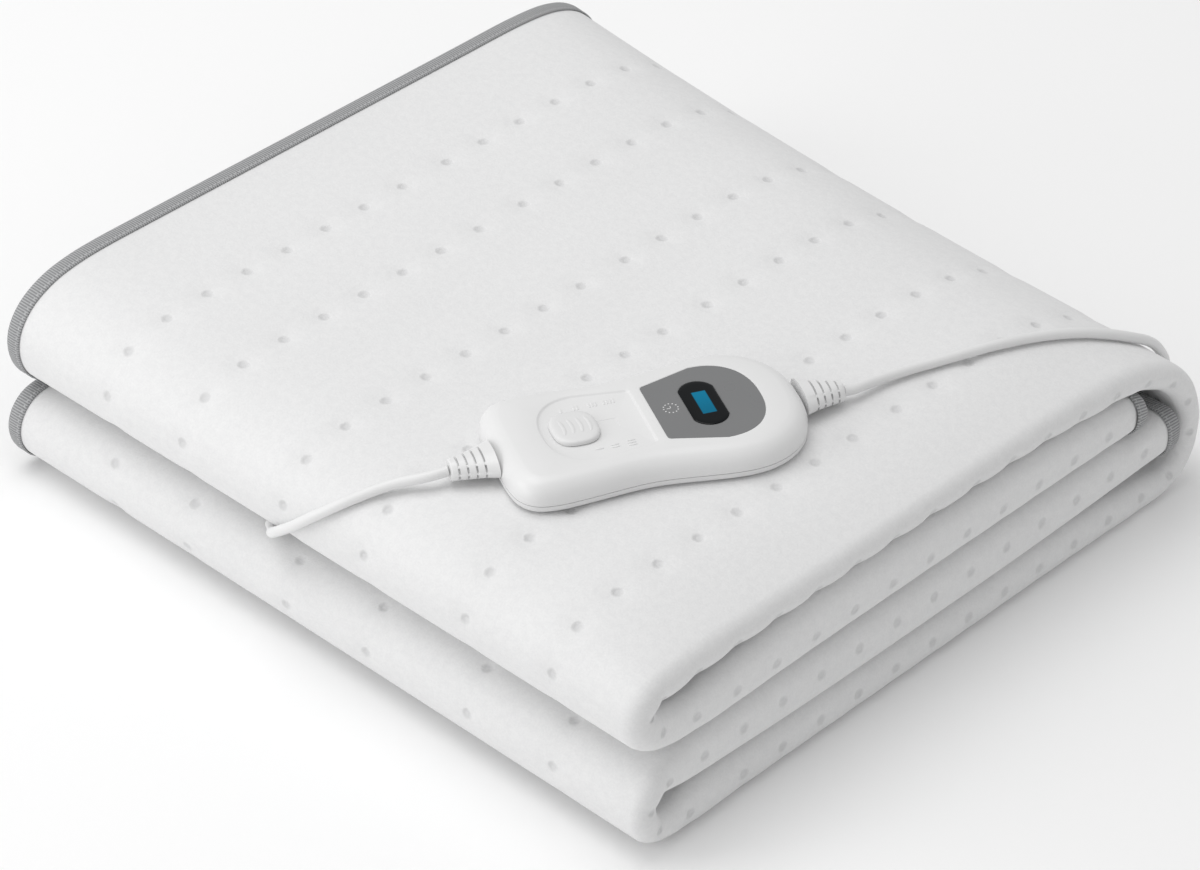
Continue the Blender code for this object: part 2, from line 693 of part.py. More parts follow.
def make_coil():
    """The ring that the stored turns of the mains lead fill, and the band that ties it."""
    inner = COIL_RADIUS - COIL_WIDE / 2
    outer = COIL_RADIUS + COIL_WIDE / 2
    chamfer = 2.0
    low, high = COIL_LIFT, COIL_LIFT + COIL_HIGH
    profile = (
        (inner + chamfer, low),
        (outer - chamfer, low),
        (outer, low + chamfer),
        (outer, high - chamfer),
        (outer - chamfer, high),
        (inner + chamfer, high),
        (inner, high - chamfer),
        (inner, low + chamfer),
    )
    steps = 40
    rings = []
    for k in range(steps):
        angle = 2 * math.pi * k / steps
        rings.append([(r * math.cos(angle) * MM, r * math.sin(angle) * MM, z * MM) for r, z in profile])
    bm = bmesh.new()
    skin_rings(bm, rings, closed_along=True)
    coil = add_object("mains_coil", bm, material("lead"))
    coil.location = (COIL_CENTRE[0] * MM, (COIL_CENTRE[1] - CENTRE_Y) * MM, 0.0)

    room = GAP + 0.3
    inside = (-outer - room, -inner + room, low - GAP - 0.1, high + room)
    bm = bmesh.new()
    loops = []
    for side in (-TIE_WIDTH / 2, TIE_WIDTH / 2):
        for grow in (0.0, TIE_THICK):
            x0, x1, z0, z1 = inside
            corners = (
                (x0 - grow, z0 - grow),
                (x1 + grow, z0 - grow),
                (x1 + grow, z1 + grow),
                (x0 - grow, z1 + grow),
            )
            loops.append([bm.verts.new((x * MM, side * MM, z * MM)) for x, z in corners])
    in_a, out_a, in_b, out_b = loops
    for first, second in ((in_a, out_a), (out_a, out_b), (out_b, in_b), (in_b, in_a)):
        for i in range(4):
            j = (i + 1) % 4
            bm.faces.new((first[i], first[j], second[j], second[i]))
    tie = add_object("coil_tie", bm, material("tie"))
    tie.location = coil.location


def make_plug():
    """A flat two-pin plug with its own tapered sleeve, lying beside the coil."""
    sides = 16
    sleeve_y = PLUG_Y - CENTRE_Y - GAP
    sleeve = []
    for share in (0.0, 0.25, 0.5, 0.75, 1.0):
        radius = LEAD / 2 + 0.8 + 2.2 * share
        y = sleeve_y - PLUG_RELIEF * share
        ring = []
        for side in range(sides):
            angle = 2 * math.pi * side / sides
            ring.append(
                (
                    (PLUG_X + radius * math.cos(angle)) * MM,
                    y * MM,
                    (PLUG_Z + radius * math.sin(angle)) * MM,
                )
            )
        sleeve.append(ring)
    bm = bmesh.new()
    skin_rings(bm, sleeve)
    add_object("plug_sleeve", bm, material("lead"))

    start = sleeve_y - PLUG_RELIEF - GAP
    body = []
    # share of the length, share of the half width
    for share, wide in ((0.0, 0.45), (0.12, 0.62), (0.5, 0.88), (0.8, 1.0), (1.0, 1.0)):
        outline = obround(0.0, 0.0, PLUG_HALF[0] * wide, PLUG_HALF[1], power=3.2, points=20)
        y = start - PLUG_LENGTH * share
        body.append([((PLUG_X + x) * MM, y * MM, (PLUG_Z + z) * MM) for x, z in outline])
    bm = bmesh.new()
    skin_rings(bm, body)
    add_object("plug_body", bm, material("lead"))

    pin_finish = steel()
    face = start - PLUG_LENGTH - GAP
    for name, side in (("plug_pin_left", -1), ("plug_pin_right", 1)):
        rings = []
        for radius, y in (
            (PIN_RADIUS, face),
            (PIN_RADIUS, face - PIN_LENGTH + 1.2),
            (PIN_RADIUS * 0.6, face - PIN_LENGTH),
        ):
            ring = []
            for k in range(12):
                angle = 2 * math.pi * k / 12
                x = PLUG_X + side * PIN_PITCH / 2 + radius * math.cos(angle)
                ring.append((x * MM, y * MM, (PLUG_Z + radius * math.sin(angle)) * MM))
            rings.append(ring)
        bm = bmesh.new()
        skin_rings(bm, rings)
        add_object(name, bm, pin_finish)


def main():
    clear_scene()
    grid = cloth_middle()
    normals = grid_normals(grid)
    make_blanket(grid, normals)
    make_edge_tape(grid, normals)
    frame = hand_frame()
    slot_floor, recess_floor = make_handset(frame)
    make_display(frame)
    make_button(frame, slot_floor, recess_floor)
    end = HAND_OUTLINE[-1][0] + GAP
    make_relief("relief_blanket_side", frame, -end, -1, -1.5)
    make_relief("relief_mains_side", frame, end, 1, -1.5)
    make_lead("blanket_lead", BLANKET_ROUTE, 9.0)
    make_lead("mains_lead", MAINS_ROUTE, 14.0)
    make_coil()
    make_lead("plug_lead", TAIL_ROUTE, 10.0)
    make_plug()


main()
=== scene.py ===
"""Looks of a folded electric underblanket with its slide-switch handset, leads and plug.

Metres, +Z up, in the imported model's own frame: +X runs from the bound long edges to the first
fold, +Y from the two rolls to the single wrap. Tables of the cloth and of the handset are in
millimetres and are scaled by MM where their meshes are made.
"""

import logging
import math
from dataclasses import dataclass, field
from enum import Enum
from typing import Mapping, NamedTuple, Sequence

import bmesh
import bpy
import numpy as np
from mathutils import Matrix, Vector

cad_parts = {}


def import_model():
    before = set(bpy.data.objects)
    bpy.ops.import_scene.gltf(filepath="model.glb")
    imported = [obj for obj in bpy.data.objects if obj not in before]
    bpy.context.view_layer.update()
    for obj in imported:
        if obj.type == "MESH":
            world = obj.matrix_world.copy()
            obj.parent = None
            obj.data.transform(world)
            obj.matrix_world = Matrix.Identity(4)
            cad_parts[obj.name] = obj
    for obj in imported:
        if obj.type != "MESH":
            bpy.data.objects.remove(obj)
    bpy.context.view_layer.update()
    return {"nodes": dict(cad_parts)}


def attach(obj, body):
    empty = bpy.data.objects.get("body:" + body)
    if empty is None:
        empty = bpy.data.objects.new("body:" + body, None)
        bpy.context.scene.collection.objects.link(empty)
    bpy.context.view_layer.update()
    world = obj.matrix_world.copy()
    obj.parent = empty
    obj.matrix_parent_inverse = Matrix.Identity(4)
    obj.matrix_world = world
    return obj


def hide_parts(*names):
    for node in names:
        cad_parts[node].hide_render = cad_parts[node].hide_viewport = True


MM = 0.001
LOG = logging.getLogger("underblanket")


# ------------------------------------------------------------------ shader maths
class Signal:
    """A shader socket that carries numbers, with Python's operators as Math nodes."""

    def __init__(self, shader: "Shader", socket: bpy.types.NodeSocket) -> None:
        """Wrap a socket.

        Args:
            shader: The shader that the socket belongs to.
            socket: The output socket.
        """
        self.shader = shader
        self.socket = socket

    def __add__(self, other: "Signal | float") -> "Signal":
        """Sum."""
        return self.shader.maths("ADD", self, other)

    def __sub__(self, other: "Signal | float") -> "Signal":
        """Difference."""
        return self.shader.maths("SUBTRACT", self, other)

    def __rsub__(self, other: float) -> "Signal":
        """Number less signal."""
        return self.shader.maths("SUBTRACT", other, self)

    def __mul__(self, other: "Signal | float") -> "Signal":
        """Product."""
        return self.shader.maths("MULTIPLY", self, other)

    def __truediv__(self, other: "Signal | float") -> "Signal":
        """Quotient."""
        return self.shader.maths("DIVIDE", self, other)

    def __neg__(self) -> "Signal":
        """Signal times minus one."""
        return self * -1.0

    __radd__ = __add__
    __rmul__ = __mul__


class Shader:
    """One material and the nodes that feed its Principled shader."""

    def __init__(self, name: str) -> None:
        """Start a material.

        Args:
            name: The material's name.
        """
        self.material = bpy.data.materials.new(name)
        self.material.use_nodes = True
        self.tree = self.material.node_tree
        self.principled = self.tree.nodes["Principled BSDF"]

    def node(
        self,
        kind: str,
        settings: Mapping[str, object] | None = None,
        inputs: Mapping[str | int, object] | None = None,
        output: str | int = 0,
    ) -> Signal:
        """Add any node.

        Args:
            kind: The node's type, without its ShaderNode prefix.
            settings: Properties that are set first; "stops" holds a ramp's (place, grey) pairs.
            inputs: Values or signals of its sockets.
            output: Which output comes back.

        Returns:
            The chosen output as a signal.
        """
        made = self.tree.nodes.new("ShaderNode" + kind)
        for key, value in (settings or {}).items():
            if key == "stops":
                self.set_stops(made.color_ramp, value)
            else:
                setattr(made, key, value)
        for key, value in (inputs or {}).items():
            self.feed(made.inputs[key], value)
        return Signal(self, made.outputs[output])

    @staticmethod
    def set_stops(ramp: bpy.types.ColorRamp, stops: Sequence[tuple[float, float]]) -> None:
        """Give a ramp its stops.

        Args:
            ramp: The ramp.
            stops: Pairs of place and grey level.
        """
        while len(ramp.elements) < len(stops):
            ramp.elements.new(1.0)
        for element, (place, grey) in zip(ramp.elements, stops):
            element.position = place
            element.color = (grey, grey, grey, 1.0)

    def feed(self, socket: bpy.types.NodeSocket, value: object) -> None:
        """Link a signal to a socket, or set the socket's own value."""
        if isinstance(value, Signal):
            self.tree.links.new(value.socket, socket)
        else:
            socket.default_value = value

    def maths(self, operation: str, *values: object) -> Signal:
        """One Math node."""
        return self.node("Math", {"operation": operation}, dict(enumerate(values)))

    def smooth(self, value: Signal, low: float, high: float) -> Signal:
        """A smooth step of a signal from 0 at low to 1 at high."""
        settings = {"interpolation_type": "SMOOTHSTEP"}
        return self.node("MapRange", settings, {"Value": value, "From Min": low, "From Max": high})

    def blend(self, share: Signal | float, first: object, second: object, way: str = "MIX") -> Signal:
        """Mix two colours by a signal.

        Args:
            share: 0 for the first colour, 1 for the second.
            first: Linear red, green and blue, or a signal.
            second: The same.
            way: How the second colour goes onto the first.

        Returns:
            The mixed colour.
        """
        made = self.tree.nodes.new("ShaderNodeMix")
        made.data_type = "RGBA"
        made.blend_type = way
        for name, value in (("A", first), ("B", second)):
            socket = next(s for s in made.inputs if s.name == name and s.type == "RGBA")
            self.feed(socket, value if isinstance(value, Signal) else (*value, 1.0))
        self.feed(made.inputs["Factor"], share)
        result = next(s for s in made.outputs if s.type == "RGBA")
        return Signal(self, result)

    def noise(self, place: Signal, scale: float, detail: float = 2.0, rough: float = 0.5) -> Signal:
        """Noise from 0 to 1, with scale in cycles a metre or in the place's own unit."""
        inputs = {"Vector": place, "Scale": scale, "Detail": detail, "Roughness": rough}
        return self.node("TexNoise", None, inputs)

    def object_place(self) -> Signal:
        """The point in the piece's own coordinates, in metres."""
        return self.node("TexCoord", None, None, "Object")

    def chart(self, name: str) -> Signal:
        """The point in one of the piece's own UV maps."""
        return self.node("UVMap", {"uv_map": name})

    def parts(self, vector: Signal) -> tuple[Signal, Signal, Signal]:
        """The three numbers of a vector."""
        made = self.tree.nodes.new("ShaderNodeSeparateXYZ")
        self.feed(made.inputs[0], vector)
        return tuple(Signal(self, made.outputs[k]) for k in range(3))

    def relief(self, height: Signal, strength: float = 1.0) -> None:
        """Feed a height in metres to the shader's normal."""
        inputs = {"Height": height, "Strength": strength, "Distance": 1.0}
        self.feed(self.principled.inputs["Normal"], self.node("Bump", None, inputs))

    def set(self, **values: object) -> None:
        """Set or link the shader's inputs, named with underscores for spaces."""
        for name, value in values.items():
            socket = self.principled.inputs[name.replace("_", " ")]
            if isinstance(value, tuple):
                value = (*value, 1.0)
            self.feed(socket, value)


# --------------------------------------------------------------------- finishes
class Chart(Enum):
    """Names of the UV maps that the finishes read."""

    FLAT = "flat"
    WELDS = "welds"
    TAPE = "tape"
    FACE = "face"


@dataclass(frozen=True)
class Fleece:
    """Soft brushed fleece, with a small pressed pit at each weld and painted shade in it."""

    pitch: float = 24.9 * MM
    spot: float = 2.3 * MM
    white: tuple[float, float, float] = (0.81, 0.81, 0.81)
    shade: tuple[float, float, float] = (0.765, 0.765, 0.768)
    # Painted shade for the pit at each weld, standing in for the shadow that falls there.
    weld_painted_shade: tuple[float, float, float] = (0.57, 0.57, 0.575)
    weld_deep: float = 1.1 * MM
    pile_high: float = 0.16 * MM
    tuft_high: float = 0.26 * MM
    wrinkle_high: float = 4.5 * MM
    # Wrinkles to a metre across and along the sheet.
    wrinkles: tuple[float, float, float] = (15.0, 4.0, 1.0)

    def make(self) -> bpy.types.Material:
        """Build the material.

        Returns:
            The finished material.
        """
        s = Shader("fleece")
        flat = s.chart(Chart.FLAT.value)
        pile = s.noise(flat, 900.0, 3.0, 0.6)
        tufts = s.noise(flat, 260.0, 3.0, 0.55)
        clouds = s.noise(flat, 11.0, 2.0)
        grid = s.chart(Chart.WELDS.value)
        shifted = s.node("VectorMath", {"operation": "ADD"}, {0: grid, 1: (0.5, 0.5, 0.0)})
        cell = s.node("VectorMath", {"operation": "FRACTION"}, {0: shifted})
        centred = s.node("VectorMath", {"operation": "SUBTRACT"}, {0: cell, 1: (0.5, 0.5, 0.0)})
        from_weld = s.node("VectorMath", {"operation": "LENGTH"}, {0: centred}, "Value") * self.pitch
        wobble = from_weld + (s.noise(flat, 330.0) - 0.5) * (1.2 * MM)
        # Mask of each weld's pit: it sinks the bump and lays painted shade into the pit.
        weld_pit_and_shade = 1.0 - s.smooth(wobble, self.spot * 0.3, self.spot * 1.5)
        mottle = s.smooth(pile * 0.55 + tufts * 0.45, 0.34, 0.66)
        colour = s.blend(1.0 - mottle, self.white, self.shade)
        tone = s.blend(clouds, (0.97, 0.97, 0.97), (1.0, 1.0, 1.0))
        toned = s.blend(1.0, colour, tone, "MULTIPLY")
        # The weld pits get painted shade here, darkening the colour where shadow falls in them.
        s.set(Base_Color=s.blend(weld_pit_and_shade * 0.5, toned, self.weld_painted_shade))
        s.set(Roughness=0.95, Specular_IOR_Level=0.15, Sheen_Weight=0.12, Sheen_Roughness=0.6)
        stretched = s.node("VectorMath", {"operation": "MULTIPLY"}, {0: flat, 1: self.wrinkles})
        height = pile * self.pile_high + tufts * self.tuft_high - weld_pit_and_shade * self.weld_deep
        s.relief(height + s.noise(stretched, 1.0, 1.0) * self.wrinkle_high, 0.7)
        return s.material


@dataclass(frozen=True)
class RibbedTape:
    """Grey tape woven with fine ribs across it, sewn on with one row of stitches."""

    rib: float = 1.3 * MM
    stitch: float = 2.6 * MM
    seam_at: float = 1.9 * MM
    light: tuple[float, float, float] = (0.46, 0.465, 0.47)
    dark: tuple[float, float, float] = (0.21, 0.212, 0.218)

    def make(self) -> bpy.types.Material:
        """Build the material.

        Returns:
            The finished material.
        """
        s = Shader("tape")
        along, inward, _ = s.parts(s.chart(Chart.TAPE.value))
        wave = s.maths("SINE", along * (math.tau / self.rib))
        ribs = s.smooth(wave, -0.9, 0.6)
        threads = s.noise(s.chart(Chart.TAPE.value), 900.0, 3.0)
        seam = 1.0 - s.smooth(s.maths("ABSOLUTE", inward - self.seam_at), 0.25 * MM, 0.6 * MM)
        beat = s.smooth(s.maths("SINE", along * (math.tau / self.stitch)), -0.5, 0.3)
        shade = s.blend(ribs * 0.75 + threads * 0.25, self.dark, self.light)
        s.set(Base_Color=s.blend(seam * beat * 0.6, shade, (0.56, 0.565, 0.57)))
        s.set(Roughness=0.85, Specular_IOR_Level=0.25, Sheen_Weight=0.1)
        s.relief(ribs * (0.22 * MM) + threads * (0.06 * MM) + seam * (beat * 0.3 - 0.2) * MM, 0.9)
        return s.material


@dataclass(frozen=True)
class Moulded:
    """Moulded plastic with a fine grain, slightly uneven in gloss."""

    name: str
    colour: tuple[float, float, float]
    roughness: float = 0.35
    grain: float = 0.012 * MM
    coat: float = 0.0

    def make(self) -> bpy.types.Material:
        """Build the material.

        Returns:
            The finished material.
        """
        s = Shader(self.name)
        place = s.object_place()
        grain = s.noise(place, 1800.0, 2.0)
        patches = s.noise(place, 38.0, 3.0)
        darker = tuple(c * 0.955 for c in self.colour)
        s.set(Base_Color=s.blend(patches, darker, self.colour))
        s.set(Roughness=(patches - 0.5) * 0.14 + self.roughness, Coat_Weight=self.coat)
        s.set(Specular_IOR_Level=0.5, Coat_Roughness=0.15)
        s.relief(grain * self.grain)
        return s.material


@dataclass(frozen=True)
class LitLens:
    """Dark glossy window with a lit oblong under it."""

    lit: tuple[float, float, float, float] = (22.8, 29.2, -8.2, 8.0)
    soft: float = 0.3
    glow: tuple[float, float, float] = (0.0, 0.12, 0.22)

    def make(self) -> bpy.types.Material:
        """Build the material.

        Returns:
            The finished material.
        """
        s = Shader("dark_window")
        along, across, _ = s.parts(s.chart(Chart.FACE.value))
        low_a, high_a, low_b, high_b = self.lit
        soft = self.soft
        inside = s.smooth(along, low_a - soft, low_a + soft)
        inside = inside * (1.0 - s.smooth(along, high_a - soft, high_a + soft))
        inside = inside * s.smooth(across, low_b - soft, low_b + soft)
        inside = inside * (1.0 - s.smooth(across, high_b - soft, high_b + soft))
        fade = s.smooth(across, low_b, high_b) * 0.35 + 0.65
        s.set(Base_Color=s.blend(inside, (0.006, 0.007, 0.008), (0.0, 0.06, 0.10)))
        s.set(Emission_Color=s.blend(inside * fade, (0.0, 0.0, 0.0), self.glow), Emission_Strength=1.0)
        s.set(Roughness=s.noise(s.object_place(), 60.0) * 0.04 + 0.12, Specular_IOR_Level=0.12)
        return s.material


@dataclass(frozen=True)
class Steel:
    """Bright nickel-plated pins with fine turning marks."""

    def make(self) -> bpy.types.Material:
        """Build the material.

        Returns:
            The finished material.
        """
        s = Shader("steel")
        marks = s.noise(s.object_place(), 900.0, 2.0)
        s.set(Base_Color=s.blend(marks, (0.56, 0.56, 0.57), (0.66, 0.66, 0.67)))
        s.set(Metallic=1.0, Roughness=marks * 0.14 + 0.18)
        s.relief(marks * (0.01 * MM))
        return s.material


@dataclass
class Finishes:
    """Every finish of the object, each made once."""

    fleece: bpy.types.Material = field(default_factory=lambda: Fleece().make())
    tape: bpy.types.Material = field(default_factory=lambda: RibbedTape().make())
    housing: bpy.types.Material = field(
        default_factory=lambda: Moulded("white_plastic", (0.80, 0.80, 0.80), 0.34).make()
    )
    button: bpy.types.Material = field(
        default_factory=lambda: Moulded("button_plastic", (0.76, 0.76, 0.76), 0.40).make()
    )
    panel: bpy.types.Material = field(
        default_factory=lambda: Moulded("grey_panel", (0.19, 0.192, 0.195), 0.30, 0.006 * MM, 0.2).make()
    )
    marking: bpy.types.Material = field(
        default_factory=lambda: Moulded("white_print", (0.72, 0.72, 0.72), 0.5).make()
    )
    lens: bpy.types.Material = field(default_factory=lambda: LitLens().make())
    lead: bpy.types.Material = field(
        default_factory=lambda: Moulded("lead", (0.80, 0.80, 0.80), 0.40, 0.02 * MM).make()
    )
    tie: bpy.types.Material = field(
        default_factory=lambda: Moulded("tie", (0.70, 0.70, 0.70), 0.55, 0.03 * MM).make()
    )
    steel: bpy.types.Material = field(default_factory=lambda: Steel().make())


# ---------------------------------------------------------------- mesh helpers
def add_piece(
    name: str, bm: bmesh.types.BMesh, finish: bpy.types.Material, sharp_from: float = 40.0
) -> bpy.types.Object:
    """Turn a bmesh into an object at the origin.

    Args:
        name: The piece's name.
        bm: The finished shape, in metres; it is freed.
        finish: Its material.
        sharp_from: Edges with more than this many degrees between their faces stay sharp.

    Returns:
        The object.
    """
    mesh = bpy.data.meshes.new(name)
    bm.to_mesh(mesh)
    bm.free()
    mesh.shade_smooth()
    mesh.set_sharp_from_angle(angle=math.radians(sharp_from))
    mesh.materials.append(finish)
    piece = bpy.data.objects.new(name, mesh)
    bpy.context.scene.collection.objects.link(piece)
    return piece


def catmull_rom(p0: np.ndarray, p1: np.ndarray, p2: np.ndarray, p3: np.ndarray, t: float) -> np.ndarray:
    """A point between p1 and p2 on the smooth curve through all four."""
    return 0.5 * (
        2 * p1
        + (p2 - p0) * t
        + (2 * p0 - 5 * p1 + 4 * p2 - p3) * t * t
        + (3 * p1 - p0 - 3 * p2 + p3) * t * t * t
    )


def smooth_line(points: Sequence[Sequence[float]], step: float, steer: int = 0) -> np.ndarray:
    """Even points on a smooth curve through given ones.

    Args:
        points: The points to go through; they may carry more numbers than a place.
        step: The distance between the new points.
        steer: How many leading numbers make up the place, or 0 for all of them.

    Returns:
        The new points, one in each row.
    """
    given = np.array(points, float)
    fine = []
    for i in range(len(given) - 1):
        p0, p3 = given[max(i - 1, 0)], given[min(i + 2, len(given) - 1)]
        fine += [catmull_rom(p0, given[i], given[i + 1], p3, k / 24) for k in range(24)]
    fine = np.array([*fine, given[-1]])
    place = fine[:, :steer] if steer else fine
    along = np.concatenate([[0.0], np.cumsum(np.linalg.norm(np.diff(place, axis=0), axis=1))])
    wanted = np.linspace(0.0, along[-1], max(2, round(along[-1] / step)) + 1)
    return np.stack([np.interp(wanted, along, column) for column in fine.T], axis=1)


# ---------------------------------------------------------------- camera, stage
@dataclass
class Studio:
    """The camera at the photograph's angle, a plain pale floor and soft lights."""

    place: tuple[float, float, float] = (1.1765, -1.2239, 1.2871)
    azimuth: float = 44.03
    elevation: float = 36.72
    roll: float = 0.1
    lens: float = 135.0
    floor_half: float = 4.0

    def aim_camera(self) -> None:
        """Make the camera."""
        data = bpy.data.cameras.new("photo_camera")
        data.lens = self.lens
        data.sensor_width = 36.0
        data.clip_start, data.clip_end = 0.05, 50.0
        camera = bpy.data.objects.new("photo_camera", data)
        bpy.context.scene.collection.objects.link(camera)
        azimuth, elevation = math.radians(self.azimuth), math.radians(self.elevation)
        ahead = Vector(
            (
                -math.sin(azimuth) * math.cos(elevation),
                math.cos(azimuth) * math.cos(elevation),
                -math.sin(elevation),
            )
        )
        right = Vector((math.cos(azimuth), math.sin(azimuth), 0.0))
        up = right.cross(ahead)
        turn = Matrix((right, up, -ahead)).transposed().to_4x4()
        level = Matrix.Rotation(math.radians(self.roll), 4, "Z")
        camera.matrix_world = Matrix.Translation(self.place) @ turn @ level
        bpy.context.scene.camera = camera

    def lay_floor(self) -> None:
        """Make the floor that the blanket lies on."""
        shader = Shader("studio_floor")
        shader.set(Base_Color=(0.96, 0.96, 0.96), Roughness=0.9, Specular_IOR_Level=0.0)
        bm = bmesh.new()
        bmesh.ops.create_grid(bm, x_segments=1, y_segments=1, size=self.floor_half)
        add_piece("studio_floor", bm, shader.material)

    def add_area(self, name: str, place: Sequence[float], size: float, power: float) -> None:
        """One square lamp that faces the blanket.

        Args:
            name: The lamp's name.
            place: Where it is, in metres.
            size: Its side, in metres.
            power: Its power, in watts.
        """
        data = bpy.data.lights.new(name, "AREA")
        data.size = size
        data.energy = power
        lamp = bpy.data.objects.new(name, data)
        bpy.context.scene.collection.objects.link(lamp)
        lamp.location = place
        lamp.rotation_euler = (Vector((0.0, 0.0, 0.05)) - Vector(place)).to_track_quat("-Z", "Y").to_euler()

    def light(self) -> None:
        """Make the lights: a bright room and three wide soft lamps."""
        scene = bpy.context.scene
        world = bpy.data.worlds.new("bright_room")
        world.use_nodes = True
        world.node_tree.nodes["Background"].inputs["Color"].default_value = (1.0, 1.0, 1.0, 1.0)
        world.node_tree.nodes["Background"].inputs["Strength"].default_value = 0.55
        scene.world = world
        scene.view_settings.view_transform = "Standard"
        self.add_area("overhead_lamp", (-0.5, -0.3, 2.2), 1.8, 22.0)
        self.add_area("left_lamp", (-1.6, -2.0, 1.3), 1.4, 13.0)
        self.add_area("low_front_lamp", (-0.5, -2.5, 0.5), 1.2, 9.0)

    def build(self) -> None:
        """Make everything that isn't part of the object."""
        self.aim_camera()
        self.lay_floor()
        self.light()


# ------------------------------------------------------------------------ leads
HANDSET_EXIT = (0.04890, -0.15245, 0.10835)
BLANKET_LEAD_ROUTE = (
    HANDSET_EXIT,
    (0.04730, -0.15560, 0.10790),
    (0.04460, -0.15960, 0.10700),
    (0.04080, -0.16360, 0.10560),
    (0.03620, -0.16750, 0.10390),
    (0.03190, -0.17180, 0.10190),
    (0.02790, -0.17660, 0.09970),
    (0.02390, -0.18140, 0.09720),
    (0.01940, -0.18630, 0.09410),
    (0.01480, -0.19020, 0.09050),
    (0.00580, -0.19500, 0.08290),
    (-0.00200, -0.19670, 0.07580),
    (-0.00980, -0.19640, 0.06910),
    (-0.01650, -0.19560, 0.06350),
    (-0.02220, -0.19300, 0.05860),
    (-0.02720, -0.18910, 0.05390),
    (-0.03200, -0.18450, 0.05030),
    (-0.03740, -0.18070, 0.04830),
)
MAINS_EXIT = (0.13292, 0.01120, 0.10833)
MAINS_ROUTE = (
    MAINS_EXIT,
    (0.13470, 0.01530, 0.10795),
    (0.13550, 0.02090, 0.10740),
    (0.13620, 0.02730, 0.10675),
    (0.13760, 0.03490, 0.10615),
    (0.13940, 0.04210, 0.10570),
    (0.14150, 0.04960, 0.10540),
    (0.14630, 0.06360, 0.10500),
    (0.15090, 0.07800, 0.10440),
    (0.15550, 0.09270, 0.10340),
    (0.16030, 0.10710, 0.10170),
    (0.16500, 0.11990, 0.09950),
    (0.17020, 0.13330, 0.09620),
    (0.17460, 0.14410, 0.09240),
    (0.17820, 0.15370, 0.08810),
    (0.18040, 0.16150, 0.08390),
    (0.18120, 0.16890, 0.07930),
    (0.18100, 0.17590, 0.07320),
    (0.18020, 0.18190, 0.06620),
    (0.17920, 0.18700, 0.05870),
    (0.17800, 0.19070, 0.05050),
    (0.17660, 0.19300, 0.04220),
    (0.17480, 0.19420, 0.03400),
    (0.17240, 0.19460, 0.02600),
    (0.16860, 0.19530, 0.01820),
    (0.16260, 0.19690, 0.01120),
    (0.15360, 0.19850, 0.00580),
    (0.14000, 0.19970, 0.00320),
    (0.10000, 0.20090, 0.00290),
    (0.03000, 0.20150, 0.00290),
    (-0.06000, 0.20210, 0.00290),
    (-0.14000, 0.20410, 0.00290),
    (-0.18600, 0.20570, 0.00290),
    (-0.21500, 0.19610, 0.00290),
    (-0.22900, 0.17110, 0.00290),
    (-0.23000, 0.13710, 0.00310),
    (-0.22340, 0.10310, 0.00390),
    (-0.21500, 0.07710, 0.00500),
    (-0.21110, 0.05710, 0.00540),
    (-0.21115, 0.03990, 0.00560),
)
TAIL_ROUTE = (
    (-0.21670, -0.00420, 0.00900),
    (-0.21760, -0.01690, 0.00880),
    (-0.22040, -0.02950, 0.00830),
    (-0.22480, -0.04150, 0.00770),
    (-0.22730, -0.05150, 0.00730),
    (-0.22760, -0.05875, 0.00720),
)


@dataclass
class Coil:
    """The stored turns of the mains lead, wound eight to a section and a diameter apart."""

    centre: tuple[float, float] = (-0.2410, 0.0211)
    radius: float = 0.0275
    column: float = 0.0026
    floor_row: float = 0.0044
    row: float = 0.00515
    start_angle: float = 32.0
    first_change: float = 306.0
    change_every: float = 330.0
    change_takes: float = 60.0
    leaves_after: float = 2552.0
    whole: float = 2598.0
    step: float = 6.0
    # Side (outer is 1) and row of the places that one turn after another lies in.
    places: tuple[tuple[int, int], ...] = (
        (1, 0), (-1, 0), (-1, 1), (-1, 2), (-1, 3), (1, 3), (1, 2), (1, 1)
    )

    def seat(self, index: int) -> np.ndarray:
        """Radius and height of one of the places in the coil's section."""
        side, row = self.places[index]
        return np.array([self.radius + side * self.column, self.floor_row + row * self.row])

    def turns(
        self, arrival: Sequence[float], departure: Sequence[float]
    ) -> list[tuple[float, float, float]]:
        """The line of the lead round the coil, clockwise seen from above.

        Args:
            arrival: The point before the coil.
            departure: The point after it.

        Returns:
            The points between the two.
        """
        outside = [self.polar(arrival), self.polar(departure)]
        legs = [(0.0, self.step * 5, outside[0], self.seat(0))]
        for k in range(len(self.places) - 1):
            start = self.first_change + k * self.change_every
            legs.append((start, start + self.change_takes, self.seat(k), self.seat(k + 1)))
        legs.append((self.leaves_after, self.whole, self.seat(len(self.places) - 1), outside[1]))
        line = []
        for turned in np.arange(self.step, self.whole, self.step):
            start, stop, before, after = [leg for leg in legs if leg[0] <= turned][-1]
            share = min(1.0, (turned - start) / (stop - start))
            radius, height = before + (after - before) * share * share * (3.0 - 2.0 * share)
            angle = math.radians(self.start_angle - turned)
            x = self.centre[0] + radius * math.cos(angle)
            line.append((x, self.centre[1] + radius * math.sin(angle), height))
        return line

    def polar(self, point: Sequence[float]) -> np.ndarray:
        """Radius and height of a point about the coil's centre."""
        return np.array([math.dist(point[:2], self.centre), point[2]])


